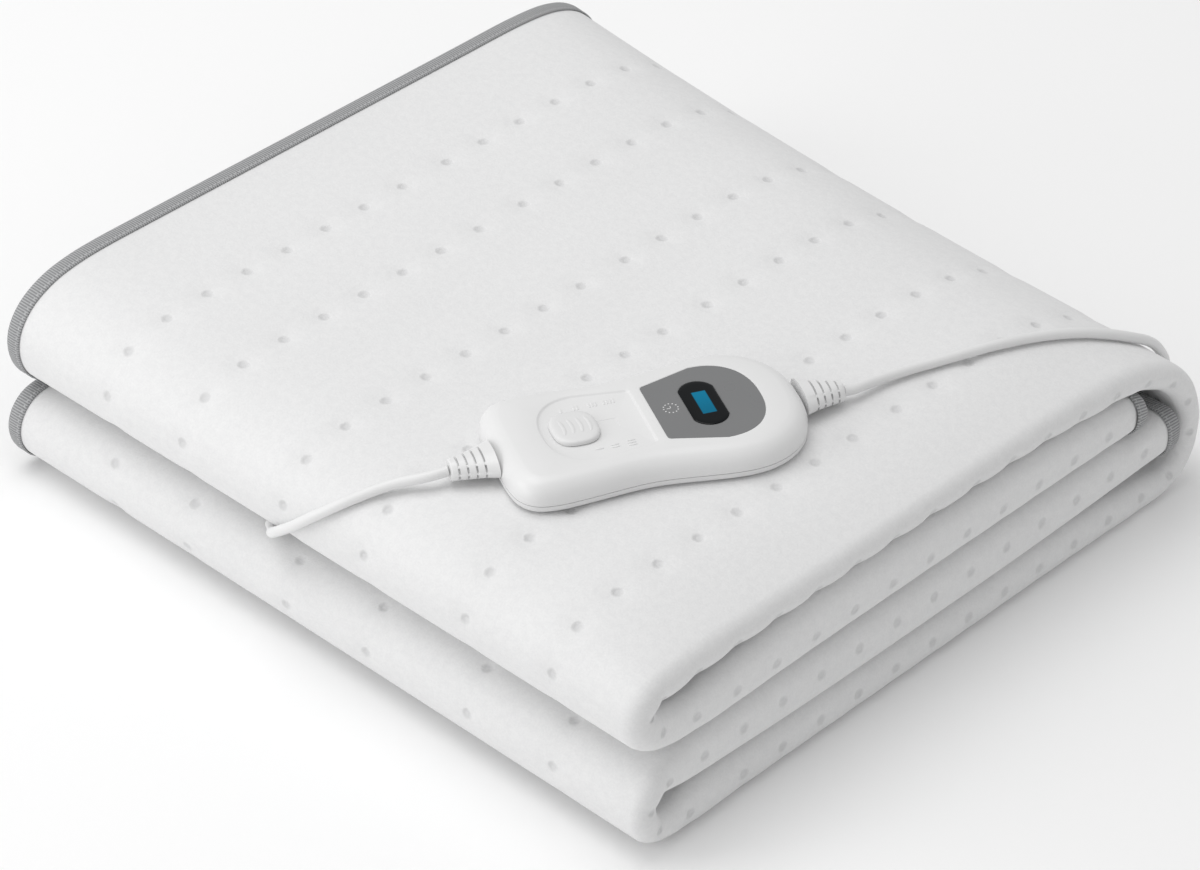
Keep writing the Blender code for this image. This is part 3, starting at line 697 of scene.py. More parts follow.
@dataclass
class Leads:
    """The two free cords: handset to blanket, and handset to plug with its stored turns."""

    diameter: float = 0.005
    coil: Coil = field(default_factory=Coil)

    def draw(
        self, name: str, line: np.ndarray, finish: bpy.types.Material
    ) -> tuple[bpy.types.Object, float]:
        """One cord as a round tube on an open spline.

        Args:
            name: The piece's name.
            line: Its centreline.
            finish: Its material.

        Returns:
            The object and its length in metres.
        """
        curve = bpy.data.curves.new(name, "CURVE")
        curve.dimensions = "3D"
        curve.bevel_depth = self.diameter / 2
        curve.bevel_resolution = 4
        curve.use_fill_caps = True
        spline = curve.splines.new("POLY")
        spline.points.add(len(line) - 1)
        spline.points.foreach_set("co", np.column_stack([line, np.ones(len(line))]).ravel())
        spline.use_smooth = True
        curve.materials.append(finish)
        piece = bpy.data.objects.new(name, curve)
        bpy.context.scene.collection.objects.link(piece)
        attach(piece, "root")
        return piece, float(np.linalg.norm(np.diff(line, axis=0), axis=1).sum())

    def build(self, finishes: Finishes) -> None:
        """Make both cords in place of the imported ones.

        Args:
            finishes: The object's finishes.
        """
        short = smooth_line(BLANKET_LEAD_ROUTE, 0.003)
        lead, length = self.draw("lead_to_blanket", short, finishes.lead)
        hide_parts("blanket_lead")
        LOG.info("lead to the blanket, %.3f m", length)

        turns = self.coil.turns(MAINS_ROUTE[-1], TAIL_ROUTE[0])
        line = smooth_line([*MAINS_ROUTE, *turns, *TAIL_ROUTE], 0.003)
        mains, length = self.draw("lead_to_plug", line, finishes.lead)
        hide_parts("mains_lead", "mains_coil", "plug_lead")
        LOG.info("mains lead with its coil, %.3f m", length)


# --------------------------------------------------------------- folded blanket
class FoldRow(NamedTuple):
    """One row of the fold table, in millimetres: the outer face of the doubled strip."""

    bound_y: float
    bound_z: float
    fold_y: float
    fold_z: float
    bound_apart: float
    fold_apart: float
    tip: float
    droop: float


FOLD_ROWS = (
    # From the short end of panel 2 to the upper roll.
    FoldRow(152.0, 43.8, 153.5, 50.6, 12.5, 10.6, 202.0, 0.0),
    FoldRow(134.0, 43.8, 136.0, 50.9, 14.0, 14.5, 203.0, 0.0),
    FoldRow(70.0, 43.8, 70.0, 51.2, 17.0, 19.0, 203.5, 0.0),
    FoldRow(-60.0, 43.8, -60.0, 50.8, 17.0, 21.6, 203.5, 0.0),
    FoldRow(-128.0, 43.8, -128.0, 49.6, 13.0, 17.0, 203.0, 0.0),
    FoldRow(-144.0, 43.8, -146.0, 49.9, 10.6, 14.0, 202.5, 0.0),
    # Upper roll.
    FoldRow(-158.5, 44.7, -160.6, 51.0, 9.4, 13.6, 202.5, 0.0),
    FoldRow(-171.0, 48.2, -173.4, 54.4, 9.2, 13.4, 202.0, 0.0),
    FoldRow(-179.6, 56.4, -182.2, 62.8, 9.2, 12.4, 201.5, 0.0),
    FoldRow(-183.2, 68.4, -185.4, 74.3, 9.2, 11.2, 201.0, 1.0),
    FoldRow(-180.8, 80.4, -182.2, 85.8, 9.2, 10.8, 201.0, 2.0),
    FoldRow(-172.4, 90.6, -173.4, 94.0, 9.2, 11.4, 201.0, 4.0),
    FoldRow(-159.6, 97.4, -160.4, 98.4, 9.4, 11.8, 201.0, 6.0),
    FoldRow(-145.0, 100.6, -144.5, 101.0, 9.8, 12.0, 201.2, 7.0),
    # Panel 1, the top.
    FoldRow(-128.0, 101.8, -127.0, 101.9, 10.8, 11.4, 201.5, 7.0),
    FoldRow(-100.0, 102.0, -100.0, 102.0, 13.0, 10.0, 202.0, 7.0),
    FoldRow(0.0, 102.0, 0.0, 102.0, 17.0, 9.0, 202.5, 7.0),
    FoldRow(100.0, 102.0, 80.0, 102.0, 15.0, 10.2, 202.5, 8.0),
    # The wrap at the back.
    FoldRow(148.0, 102.0, 122.0, 99.0, 10.6, 11.6, 203.0, 7.0),
    FoldRow(174.0, 99.0, 149.0, 92.2, 9.4, 9.4, 203.0, 4.0),
    FoldRow(191.0, 90.5, 173.0, 79.8, 9.2, 8.2, 203.0, 1.6),
    FoldRow(201.0, 76.0, 189.8, 62.0, 9.2, 7.3, 203.0, 0.0),
    FoldRow(205.0, 58.0, 198.2, 43.0, 9.2, 7.2, 203.0, 0.0),
    FoldRow(203.5, 39.0, 199.0, 26.0, 9.2, 7.2, 203.0, 0.0),
    FoldRow(196.0, 21.0, 192.5, 11.0, 9.2, 7.2, 203.0, 0.0),
    FoldRow(182.0, 6.8, 180.0, 2.4, 9.2, 7.6, 203.0, 0.0),
    # Panel 4, the bottom.
    FoldRow(162.0, 1.4, 162.0, 0.0, 9.4, 9.5, 203.0, 0.0),
    FoldRow(100.0, 1.2, 100.0, 0.0, 9.8, 14.0, 203.0, 0.0),
    FoldRow(0.0, 1.2, 0.0, 0.0, 9.8, 14.2, 203.0, 0.0),
    FoldRow(-110.0, 1.2, -110.0, 0.0, 9.6, 15.4, 203.0, 0.0),
    FoldRow(-140.0, 1.2, -138.0, 0.0, 9.2, 15.6, 203.5, 0.0),
    FoldRow(-155.0, 1.8, -151.0, 0.7, 8.9, 13.5, 203.7, 0.0),
    # Lower roll.
    FoldRow(-169.0, 4.2, -163.5, 2.6, 8.7, 10.0, 204.0, 0.0),
    FoldRow(-179.3, 8.6, -175.4, 6.6, 8.7, 8.4, 204.5, 0.0),
    FoldRow(-184.7, 14.6, -182.8, 14.6, 8.7, 8.0, 205.0, 0.0),
    FoldRow(-187.2, 23.7, -185.4, 25.0, 8.7, 8.0, 205.0, 0.0),
    FoldRow(-184.7, 32.9, -182.6, 35.4, 8.7, 8.0, 205.0, 0.0),
    FoldRow(-178.0, 39.6, -175.0, 43.4, 8.7, 8.6, 204.5, 0.0),
    FoldRow(-168.8, 42.1, -163.6, 47.0, 8.8, 13.0, 204.0, 0.0),
    # Panel 3 and its short end inside the wrap.
    FoldRow(-157.0, 41.6, -152.0, 48.2, 9.2, 16.0, 203.7, 0.0),
    FoldRow(-134.0, 40.2, -134.0, 48.8, 9.8, 18.0, 203.5, 0.0),
    FoldRow(-60.0, 40.2, -60.0, 49.2, 10.5, 21.2, 203.5, 0.0),
    FoldRow(70.0, 40.2, 70.0, 49.2, 10.5, 21.2, 203.5, 0.0),
    FoldRow(155.0, 40.2, 164.0, 47.6, 10.5, 17.0, 203.0, 0.0),
    FoldRow(170.0, 40.2, 180.4, 47.0, 10.5, 15.5, 203.0, 0.0),
)


def mean_direction(points: np.ndarray, axis: int) -> np.ndarray:
    """At each point, the unit bisector of the steps before and after it on one axis."""
    steps = np.diff(points, axis=axis)
    steps /= np.linalg.norm(steps, axis=-1, keepdims=True)
    first, last = np.take(steps, [0], axis=axis), np.take(steps, [-1], axis=axis)
    total = np.concatenate([first, steps], axis=axis) + np.concatenate([steps, last], axis=axis)
    return total / np.linalg.norm(total, axis=-1, keepdims=True)


@dataclass
class WeldPattern:
    """Where the two faces of the blanket are welded together, on the flat sheet, in millimetres."""

    pitch: float = 24.9
    # Distance of each row from the bound long edge of the outer layer.
    rows: tuple[float, ...] = (70.0, 122.0, 189.0, 241.0, 304.0, 356.0, 413.5)
    # Start and stop of each run along the strip, and a place where a weld of the run would lie.
    runs: tuple[tuple[float, float, float], ...] = (
        (-1000.0, 16.0, 3.7), (16.0, 250.0, 8.2), (250.0, 590.0, 17.6), (590.0, 1000.0, 3.7)
    )

    def places(self) -> np.ndarray:
        """Distances of the welds along the sheet from the middle of the top panel."""
        found = []
        for start, stop, place in self.runs:
            first = place + self.pitch * math.ceil((start - place) / self.pitch)
            found.append(np.arange(first, stop, self.pitch))
        return np.concatenate(found)

    def chart(self, distance: np.ndarray, places: Sequence[float]) -> np.ndarray:
        """Distances turned into a number that is whole at each weld.

        Args:
            distance: Distances on the sheet.
            places: Where the welds are, in order.

        Returns:
            The numbers, with one unit for each pitch close to a weld.
        """
        knots = np.array([[p - self.pitch / 2, p + self.pitch / 2] for p in places]).ravel()
        values = np.array([[k - 0.5, k + 0.5] for k in range(len(places))]).ravel()
        return np.interp(distance, knots, values)

    def dimple(self, weld_chart: np.ndarray, depth: float, width: float) -> np.ndarray:
        """How deep the soft dimple round each weld is.

        Args:
            weld_chart: The numbers from chart(), across and along.
            depth: Depth at the weld.
            width: Distance from the weld where the depth is down to a third.

        Returns:
            The depth at each point.
        """
        off = (weld_chart - np.round(weld_chart)) * self.pitch
        return depth * np.exp(-(off**2).sum(axis=-1) / width**2)


@dataclass
class FoldedBlanket:
    """The quilted sheet, folded once across its width and then into four panels."""

    cloth: float = 6.4
    bound_x: float = -203.5
    inner_stagger: float = 2.0
    droop_length: float = 58.0
    squareness: float = 2.6
    tight_bend: float = 4.5
    wide_bend: float = 9.0
    centre_y: float = 8.9
    spacing: float = 3.35
    outer_columns: int = 121
    bend_columns: int = 24
    inner_columns: int = 28
    coarser: int = 4
    dimple_deep: float = 1.2
    dimple_wide: float = 5.6
    welds: WeldPattern = field(default_factory=WeldPattern)

    def stations(self) -> np.ndarray:
        """The fold table with even steps along the strip."""
        # Both edges' places steer together, so a step on the cloth counts twice over.
        even = smooth_line(FOLD_ROWS, self.spacing * math.sqrt(2.0), steer=4)
        count = (len(even) - 1) // self.coarser * self.coarser + 1
        old = np.linspace(0.0, 1.0, len(even))
        new = np.linspace(0.0, 1.0, count)
        return np.stack([np.interp(new, old, column) for column in even.T], axis=1)

    def middle(self) -> np.ndarray:
        """The middle surface of the cloth, as a grid of points across and along."""
        stations = self.stations()
        bound_apart, fold_apart, tip, droop = stations[:, 4:8].T
        lean = np.arctan(2.0 * droop / self.droop_length)
        depth_at_fold = fold_apart * np.cos(lean)
        bend = np.minimum(depth_at_fold / 2, self.wide_bend)
        room = self.wide_bend - self.tight_bend
        openness = np.clip((fold_apart / 2 - self.tight_bend) / room, 0.0, 1.0)
        power = 2.0 / (2.0 + (self.squareness - 2.0) * openness)
        bend_start = tip - self.cloth / 2 - bend
        bend_stop = bend_start - depth_at_fold * np.sin(lean)

        def section(x: np.ndarray) -> tuple[np.ndarray, ...]:
            """Outer face and outward normal of the strip at this x, before it sinks."""
            share = np.clip((x - self.bound_x) / (bend_start - self.bound_x), 0.0, 1.0)
            blend = 1.0 - (1.0 - share) ** 2
            y = stations[:, 0] + (stations[:, 2] - stations[:, 0]) * blend
            z = stations[:, 1] + (stations[:, 3] - stations[:, 1]) * blend
            direction = mean_direction(np.stack([y, z], axis=1), 0)
            return y, z, -direction[:, 1], direction[:, 0], share

        def flat_column(x: np.ndarray, layer: float) -> np.ndarray:
            """One line along the strip on the outer (0) or the inner (1) layer."""
            y, z, ny, nz, share = section(x)
            sunk = droop * np.clip((x - bend_start) / self.droop_length + 1.0, 0.0, 1.0) ** 2
            apart = bound_apart + (fold_apart - bound_apart) * share
            down = self.cloth / 2 + sunk + layer * apart
            return np.stack([x, y - self.centre_y - down * ny, z - down * nz], axis=1)

        def bend_column(turn: float) -> np.ndarray:
            """One line along the folded edge, this many degrees round it."""
            angle = math.radians(turn)
            reach = bend * math.sin(angle) ** power
            side = math.copysign(1.0, math.cos(angle)) * abs(math.cos(angle)) ** power
            depth = depth_at_fold * (1.0 - side) / 2
            y, z, ny, nz, _ = section(bend_start)
            x = bend_start + reach * np.cos(lean) - depth * np.sin(lean)
            down = self.cloth / 2 + droop + reach * np.sin(lean) + depth * np.cos(lean)
            return np.stack([x, y - self.centre_y - down * ny, z - down * nz], axis=1)

        shares = np.linspace(0.0, 1.0, self.outer_columns)
        columns = [flat_column(self.bound_x + (bend_start - self.bound_x) * s, 0.0) for s in shares]
        columns += [bend_column(t) for t in np.linspace(0.0, 180.0, self.bend_columns + 2)[1:-1]]
        start = self.bound_x + self.inner_stagger
        inner = np.linspace(1.0, 0.0, self.inner_columns) ** 1.3
        columns += [flat_column(start + (bend_stop - start) * s, 1.0) for s in inner]
        return np.array(columns)

    @staticmethod
    def normals(grid: np.ndarray) -> np.ndarray:
        """Unit normals of the middle surface, towards the outside of the fold."""
        normal = np.cross(mean_direction(grid, 0), mean_direction(grid, 1))
        return normal / np.linalg.norm(normal, axis=2, keepdims=True)

    def charts(self, outer: np.ndarray) -> tuple[np.ndarray, np.ndarray]:
        """The flat sheet's own distances at each point of the outer surface.

        Args:
            outer: The grid of points on the outer surface, in millimetres.

        Returns:
            Distance from the bound edge and from the middle of the top panel, and the weld chart.
        """
        across = np.linalg.norm(np.diff(outer, axis=0), axis=2).cumsum(axis=0)
        across = np.concatenate([np.zeros((1, outer.shape[1])), across])
        along = np.linalg.norm(np.diff(outer, axis=1), axis=2).cumsum(axis=1)
        along = np.concatenate([np.zeros((outer.shape[0], 1)), along], axis=1)
        top = outer[5, :, 2] > outer[5, :, 2].max() - 1.0
        middle = np.flatnonzero(top)[np.abs(outer[5, top, 1] + self.centre_y).argmin()]
        along -= along[:, middle : middle + 1]
        along[self.outer_columns :] = along[self.outer_columns - 1]
        flat = np.stack([across, along], axis=2)
        weld = [self.welds.chart(across, self.welds.rows), self.welds.chart(along, self.welds.places())]
        return flat, np.stack(weld, axis=2)

    def skin(self, outer: np.ndarray, inner: np.ndarray) -> bmesh.types.BMesh:
        """One closed shell: the fine outer face, the coarser inner face and the rim between.

        Args:
            outer: Grid of points on the outer face.
            inner: The same grid on the inner face.

        Returns:
            The shell, in metres.
        """
        bm = bmesh.new()
        every = self.coarser
        top = [[bm.verts.new(p) for p in column] for column in outer * MM]
        under = [[bm.verts.new(p) for p in column] for column in inner[::every, ::every] * MM]
        for i in range(len(top) - 1):
            for j in range(len(top[0]) - 1):
                bm.faces.new((top[i][j], top[i + 1][j], top[i + 1][j + 1], top[i][j + 1]))
        for i in range(len(under) - 1):
            for j in range(len(under[0]) - 1):
                bm.faces.new((under[i][j], under[i][j + 1], under[i + 1][j + 1], under[i + 1][j]))
        fine = self.rim(*outer.shape[:2])
        for k in range(0, len(fine), every):
            run = [fine[(k + m) % len(fine)] for m in range(every + 1)]
            first, last = run[0], run[-1]
            ends = [under[last[0] // every][last[1] // every], under[first[0] // every][first[1] // every]]
            bm.faces.new([top[i][j] for i, j in run] + ends)
        bmesh.ops.recalc_face_normals(bm, faces=bm.faces)
        return bm

    @staticmethod
    def rim(across: int, along: int) -> list[tuple[int, int]]:
        """Grid places once round the four cut edges."""
        loop = [(0, j) for j in range(along - 1)]
        loop += [(i, along - 1) for i in range(across - 1)]
        loop += [(across - 1, j) for j in range(along - 1, 0, -1)]
        loop += [(i, 0) for i in range(across - 1, 0, -1)]
        return loop

    def build(self, finishes: Finishes) -> bpy.types.Object:
        """Make the blanket and its charts.

        Args:
            finishes: The object's finishes.

        Returns:
            The blanket.
        """
        grid = self.middle()
        self.grid, self.facing = grid, self.normals(grid)
        outer = grid + self.facing * self.cloth / 2
        inner = grid - self.facing * self.cloth / 2
        flat, weld = self.charts(outer)
        self.flat = flat
        sunk = self.welds.dimple(weld, self.dimple_deep, self.dimple_wide)
        outer = outer - self.facing * sunk[..., None]
        outer[..., 2] = np.maximum(outer[..., 2], 0.0)
        blanket = add_piece("quilted_blanket", self.skin(outer, inner), finishes.fleece, 80.0)
        every = self.coarser
        for name, values in ((Chart.FLAT, flat * MM), (Chart.WELDS, weld)):
            under = values[::every, ::every].reshape(-1, 2)
            if name is Chart.WELDS:
                under = np.full_like(under, 0.5)
            points = np.concatenate([values.reshape(-1, 2), under])
            corners = np.zeros(len(blanket.data.loops), np.int32)
            blanket.data.loops.foreach_get("vertex_index", corners)
            layer = blanket.data.uv_layers.new(name=name.value)
            layer.data.foreach_set("uv", points[corners].astype(np.float32).ravel())
        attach(blanket, "root")
        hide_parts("blanket")
        LOG.info("blanket, %d faces", len(blanket.data.polygons))
        return blanket


@dataclass
class EdgeTape:
    """Ribbed tape folded over the blanket's cut edge, once round it."""

    thick: float = 0.7
    gap: float = 0.3
    covers: float = 8.3
    lip: float = 1.1
    seam: float = 1.9

    def profile(self, cloth: float) -> list[tuple[float, float]]:
        """The channel's outline: how far out of the cloth's edge, how far from its middle."""
        inside = cloth / 2 + self.gap
        outside = inside + self.thick
        face = [
            (-self.covers, outside - 0.35),
            (-self.covers + 0.35, outside + 0.05),
            (-self.covers + self.lip, outside + 0.05),
            (-self.covers + self.seam, outside - 0.3),
            (-self.covers + self.seam + 0.9, outside),
            (-3.0, outside),
        ]
        nose = self.gap + self.thick
        round_part = []
        for k in range(9):
            angle = math.radians(90.0 - 22.5 * k)
            reach = math.cos(angle) ** 0.8 if math.cos(angle) > 1e-9 else 0.0
            up = math.copysign(abs(math.sin(angle)) ** 0.8, math.sin(angle))
            round_part.append((-1.6 + (nose + 1.6) * reach, outside * up))
        back = [(e, -n) for e, n in reversed(face)]
        inner = [(-self.covers, -inside), (self.gap, -inside), (self.gap, inside), (-self.covers, inside)]
        return face + round_part + back + inner

    def build(self, cover: FoldedBlanket, blanket: bpy.types.Object, finishes: Finishes) -> bpy.types.Object:
        """Sweep the tape round the blanket's edge.

        Args:
            cover: The folded blanket's sizes and grid.
            blanket: The blanket's object; not used.
            finishes: The object's finishes.

        Returns:
            The tape.
        """
        profile = np.array(self.profile(cover.cloth))
        rim = cover.rim(*cover.grid.shape[:2])
        rings = []
        for place in rim:
            out = self.outwards(cover.grid, *place)
            point, facing = cover.grid[place], cover.facing[place]
            rings.append(point + profile[:, :1] * out + profile[:, 1:] * facing)
        rings = np.array(rings)
        middle = len(profile) // 2
        steps = np.linalg.norm(np.roll(rings[:, middle - 5], -1, axis=0) - rings[:, middle - 5], axis=1)
        along = np.concatenate([[0.0], np.cumsum(steps)])
        bm = bmesh.new()
        chart = bm.loops.layers.uv.new(Chart.TAPE.value)
        loops = [[bm.verts.new(p) for p in ring] for ring in rings * MM]
        inward = np.minimum(profile[:, 0] + self.covers, self.covers + 1.0)
        count = len(profile)
        for k in range(len(loops)):
            here, there = loops[k], loops[(k + 1) % len(loops)]
            for m in range(count):
                n = (m + 1) % count
                face = bm.faces.new((here[m], here[n], there[n], there[m]))
                places = ((along[k], inward[m]), (along[k], inward[n]), (along[k + 1], inward[n]))
                for corner, uv in zip(face.loops, (*places, (along[k + 1], inward[m]))):
                    corner[chart].uv = (uv[0] * MM, uv[1] * MM)
        bmesh.ops.recalc_face_normals(bm, faces=bm.faces)
        tape = add_piece("ribbed_edge_tape", bm, finishes.tape, 50.0)
        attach(tape, "root")
        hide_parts("edge_binding")
        LOG.info("edge tape, %d faces", len(tape.data.polygons))
        return tape

    @staticmethod
    def outwards(grid: np.ndarray, i: int, j: int) -> np.ndarray:
        """Points out of the cloth in its own plane, with both sides' shares at a corner."""
        across, along = grid.shape[:2]
        out = np.zeros(3)
        beyond = ((i == 0, (1, j)), (i == across - 1, (across - 2, j)), (j == 0, (i, 1)))
        for here, other in (*beyond, (j == along - 1, (i, along - 2))):
            if here:
                step = grid[i, j] - grid[other]
                out += step / np.linalg.norm(step)
        return out


# ---------------------------------------------------------------------- handset
def half_to_full(half: Sequence[tuple[float, float]]) -> np.ndarray:
    """Both sides of a half outline given as (along, half width) from end to end."""
    return np.array(list(half) + [(x, -y) for x, y in reversed(half) if y > 0.0])


def d_outline(
    round_end: float, straight_end: float, half: float, half_there: float, corner: float
) -> np.ndarray:
    """A D with one straight end, sides that widen, a round end and rounded corners.

    Args:
        round_end: Where the round end is.
        straight_end: Where the straight end is.
        half: Half the width at the round part.
        half_there: Half the width at the straight end.
        corner: Radius of the corners at the straight end.

    Returns:
        The outline's points.
    """
    sense = 1 if round_end > straight_end else -1
    reach = half * 0.9 * sense
    shoulder = round_end - reach
    points = []
    for angle in np.linspace(0.0, math.pi / 2, 7):
        into = corner * (1.0 - math.sin(angle)) * sense
        points.append((straight_end + into, half_there - corner * (1.0 - math.cos(angle))))
    points = points[::-1]
    for angle in np.linspace(math.pi / 2, -math.pi / 2, 33):
        across = math.copysign(abs(math.sin(angle)) ** 0.85, math.sin(angle))
        points.append((shoulder + reach * max(math.cos(angle), 0.0) ** 0.85, half * across))
    mirrored = [(x, -y) for x, y in points[:7]]
    return np.array(points + mirrored[::-1])


def rounded_oblong(
    x: float, y: float, half_x: float, half_y: float, power: float, points: int = 48
) -> np.ndarray:
    """A superellipse about a centre."""
    outline = []
    for angle in np.arange(points) * math.tau / points:
        c, s = math.cos(angle), math.sin(angle)
        along = math.copysign(abs(c) ** (2 / power), c)
        outline.append((x + half_x * along, y + half_y * math.copysign(abs(s) ** (2 / power), s)))
    return np.array(outline)


def stadium(x: float, y: float, half_x: float, half_y: float, sagitta: float) -> np.ndarray:
    """A strip with straight sides along Y and an arc at each end.

    Args:
        x: Centre in X.
        y: Centre in Y.
        half_x: Half width.
        half_y: Half length with the arcs.
        sagitta: How far each arc stands out.

    Returns:
        The outline's points.
    """
    radius = (half_x**2 + sagitta**2) / (2 * sagitta)
    half_angle = math.asin(half_x / radius)
    outline = []
    for end in (1, -1):
        for angle in np.linspace(-half_angle, half_angle, 17):
            across = half_y - radius + radius * math.cos(angle)
            outline.append((x - end * radius * math.sin(angle), y + end * across))
    return np.array(outline)


def flat_face(bm: bmesh.types.BMesh, outline: np.ndarray, height: float) -> bmesh.types.BMFace:
    """A level polygon that faces up, in millimetres."""
    face = bm.faces.new([bm.verts.new((x, y, height)) for x, y in outline])
    face.normal_update()
    if face.normal.z < 0:
        face.normal_flip()
    return face


def step_in(bm: bmesh.types.BMesh, face: bmesh.types.BMFace, steps: Sequence[tuple[float, float]]) -> None:
    """Inset a face again and again.

    Args:
        bm: The mesh.
        face: The face, which stays the innermost one.
        steps: Pairs of how far in and how far up.
    """
    for inwards, up in steps:
        bmesh.ops.inset_region(bm, faces=[face], thickness=inwards, use_even_offset=True)
        bmesh.ops.translate(bm, verts=face.verts[:], vec=(0.0, 0.0, up))


def extrude_up(bm: bmesh.types.BMesh, face: bmesh.types.BMFace, height: float) -> bmesh.types.BMFace:
    """Extrude a face straight up and return the new top face."""
    made = bmesh.ops.extrude_face_region(bm, geom=[face])["geom"]
    moved = next(g for g in made if isinstance(g, bmesh.types.BMFace))
    bmesh.ops.translate(bm, verts=moved.verts[:], vec=(0.0, 0.0, height))
    return moved


def extrude_down(bm: bmesh.types.BMesh, face: bmesh.types.BMFace, depth: float) -> bmesh.types.BMFace:
    """Extrude a face straight down and return the new bottom face."""
    return extrude_up(bm, face, -depth)


def plate_round(
    bm: bmesh.types.BMesh, face: bmesh.types.BMFace, holes: Sequence[bmesh.types.BMFace]
) -> None:
    """Replace a level face by a plate that goes round other faces in its plane.

    Args:
        bm: The mesh.
        face: The face to replace.
        holes: Faces inside it, which stay.
    """
    edges = [e for f in (face, *holes) for e in f.edges]
    bmesh.ops.delete(bm, geom=[face], context="FACES_ONLY")
    bmesh.ops.triangle_fill(bm, use_beauty=True, use_dissolve=False, edges=edges, normal=(0, 0, 1))


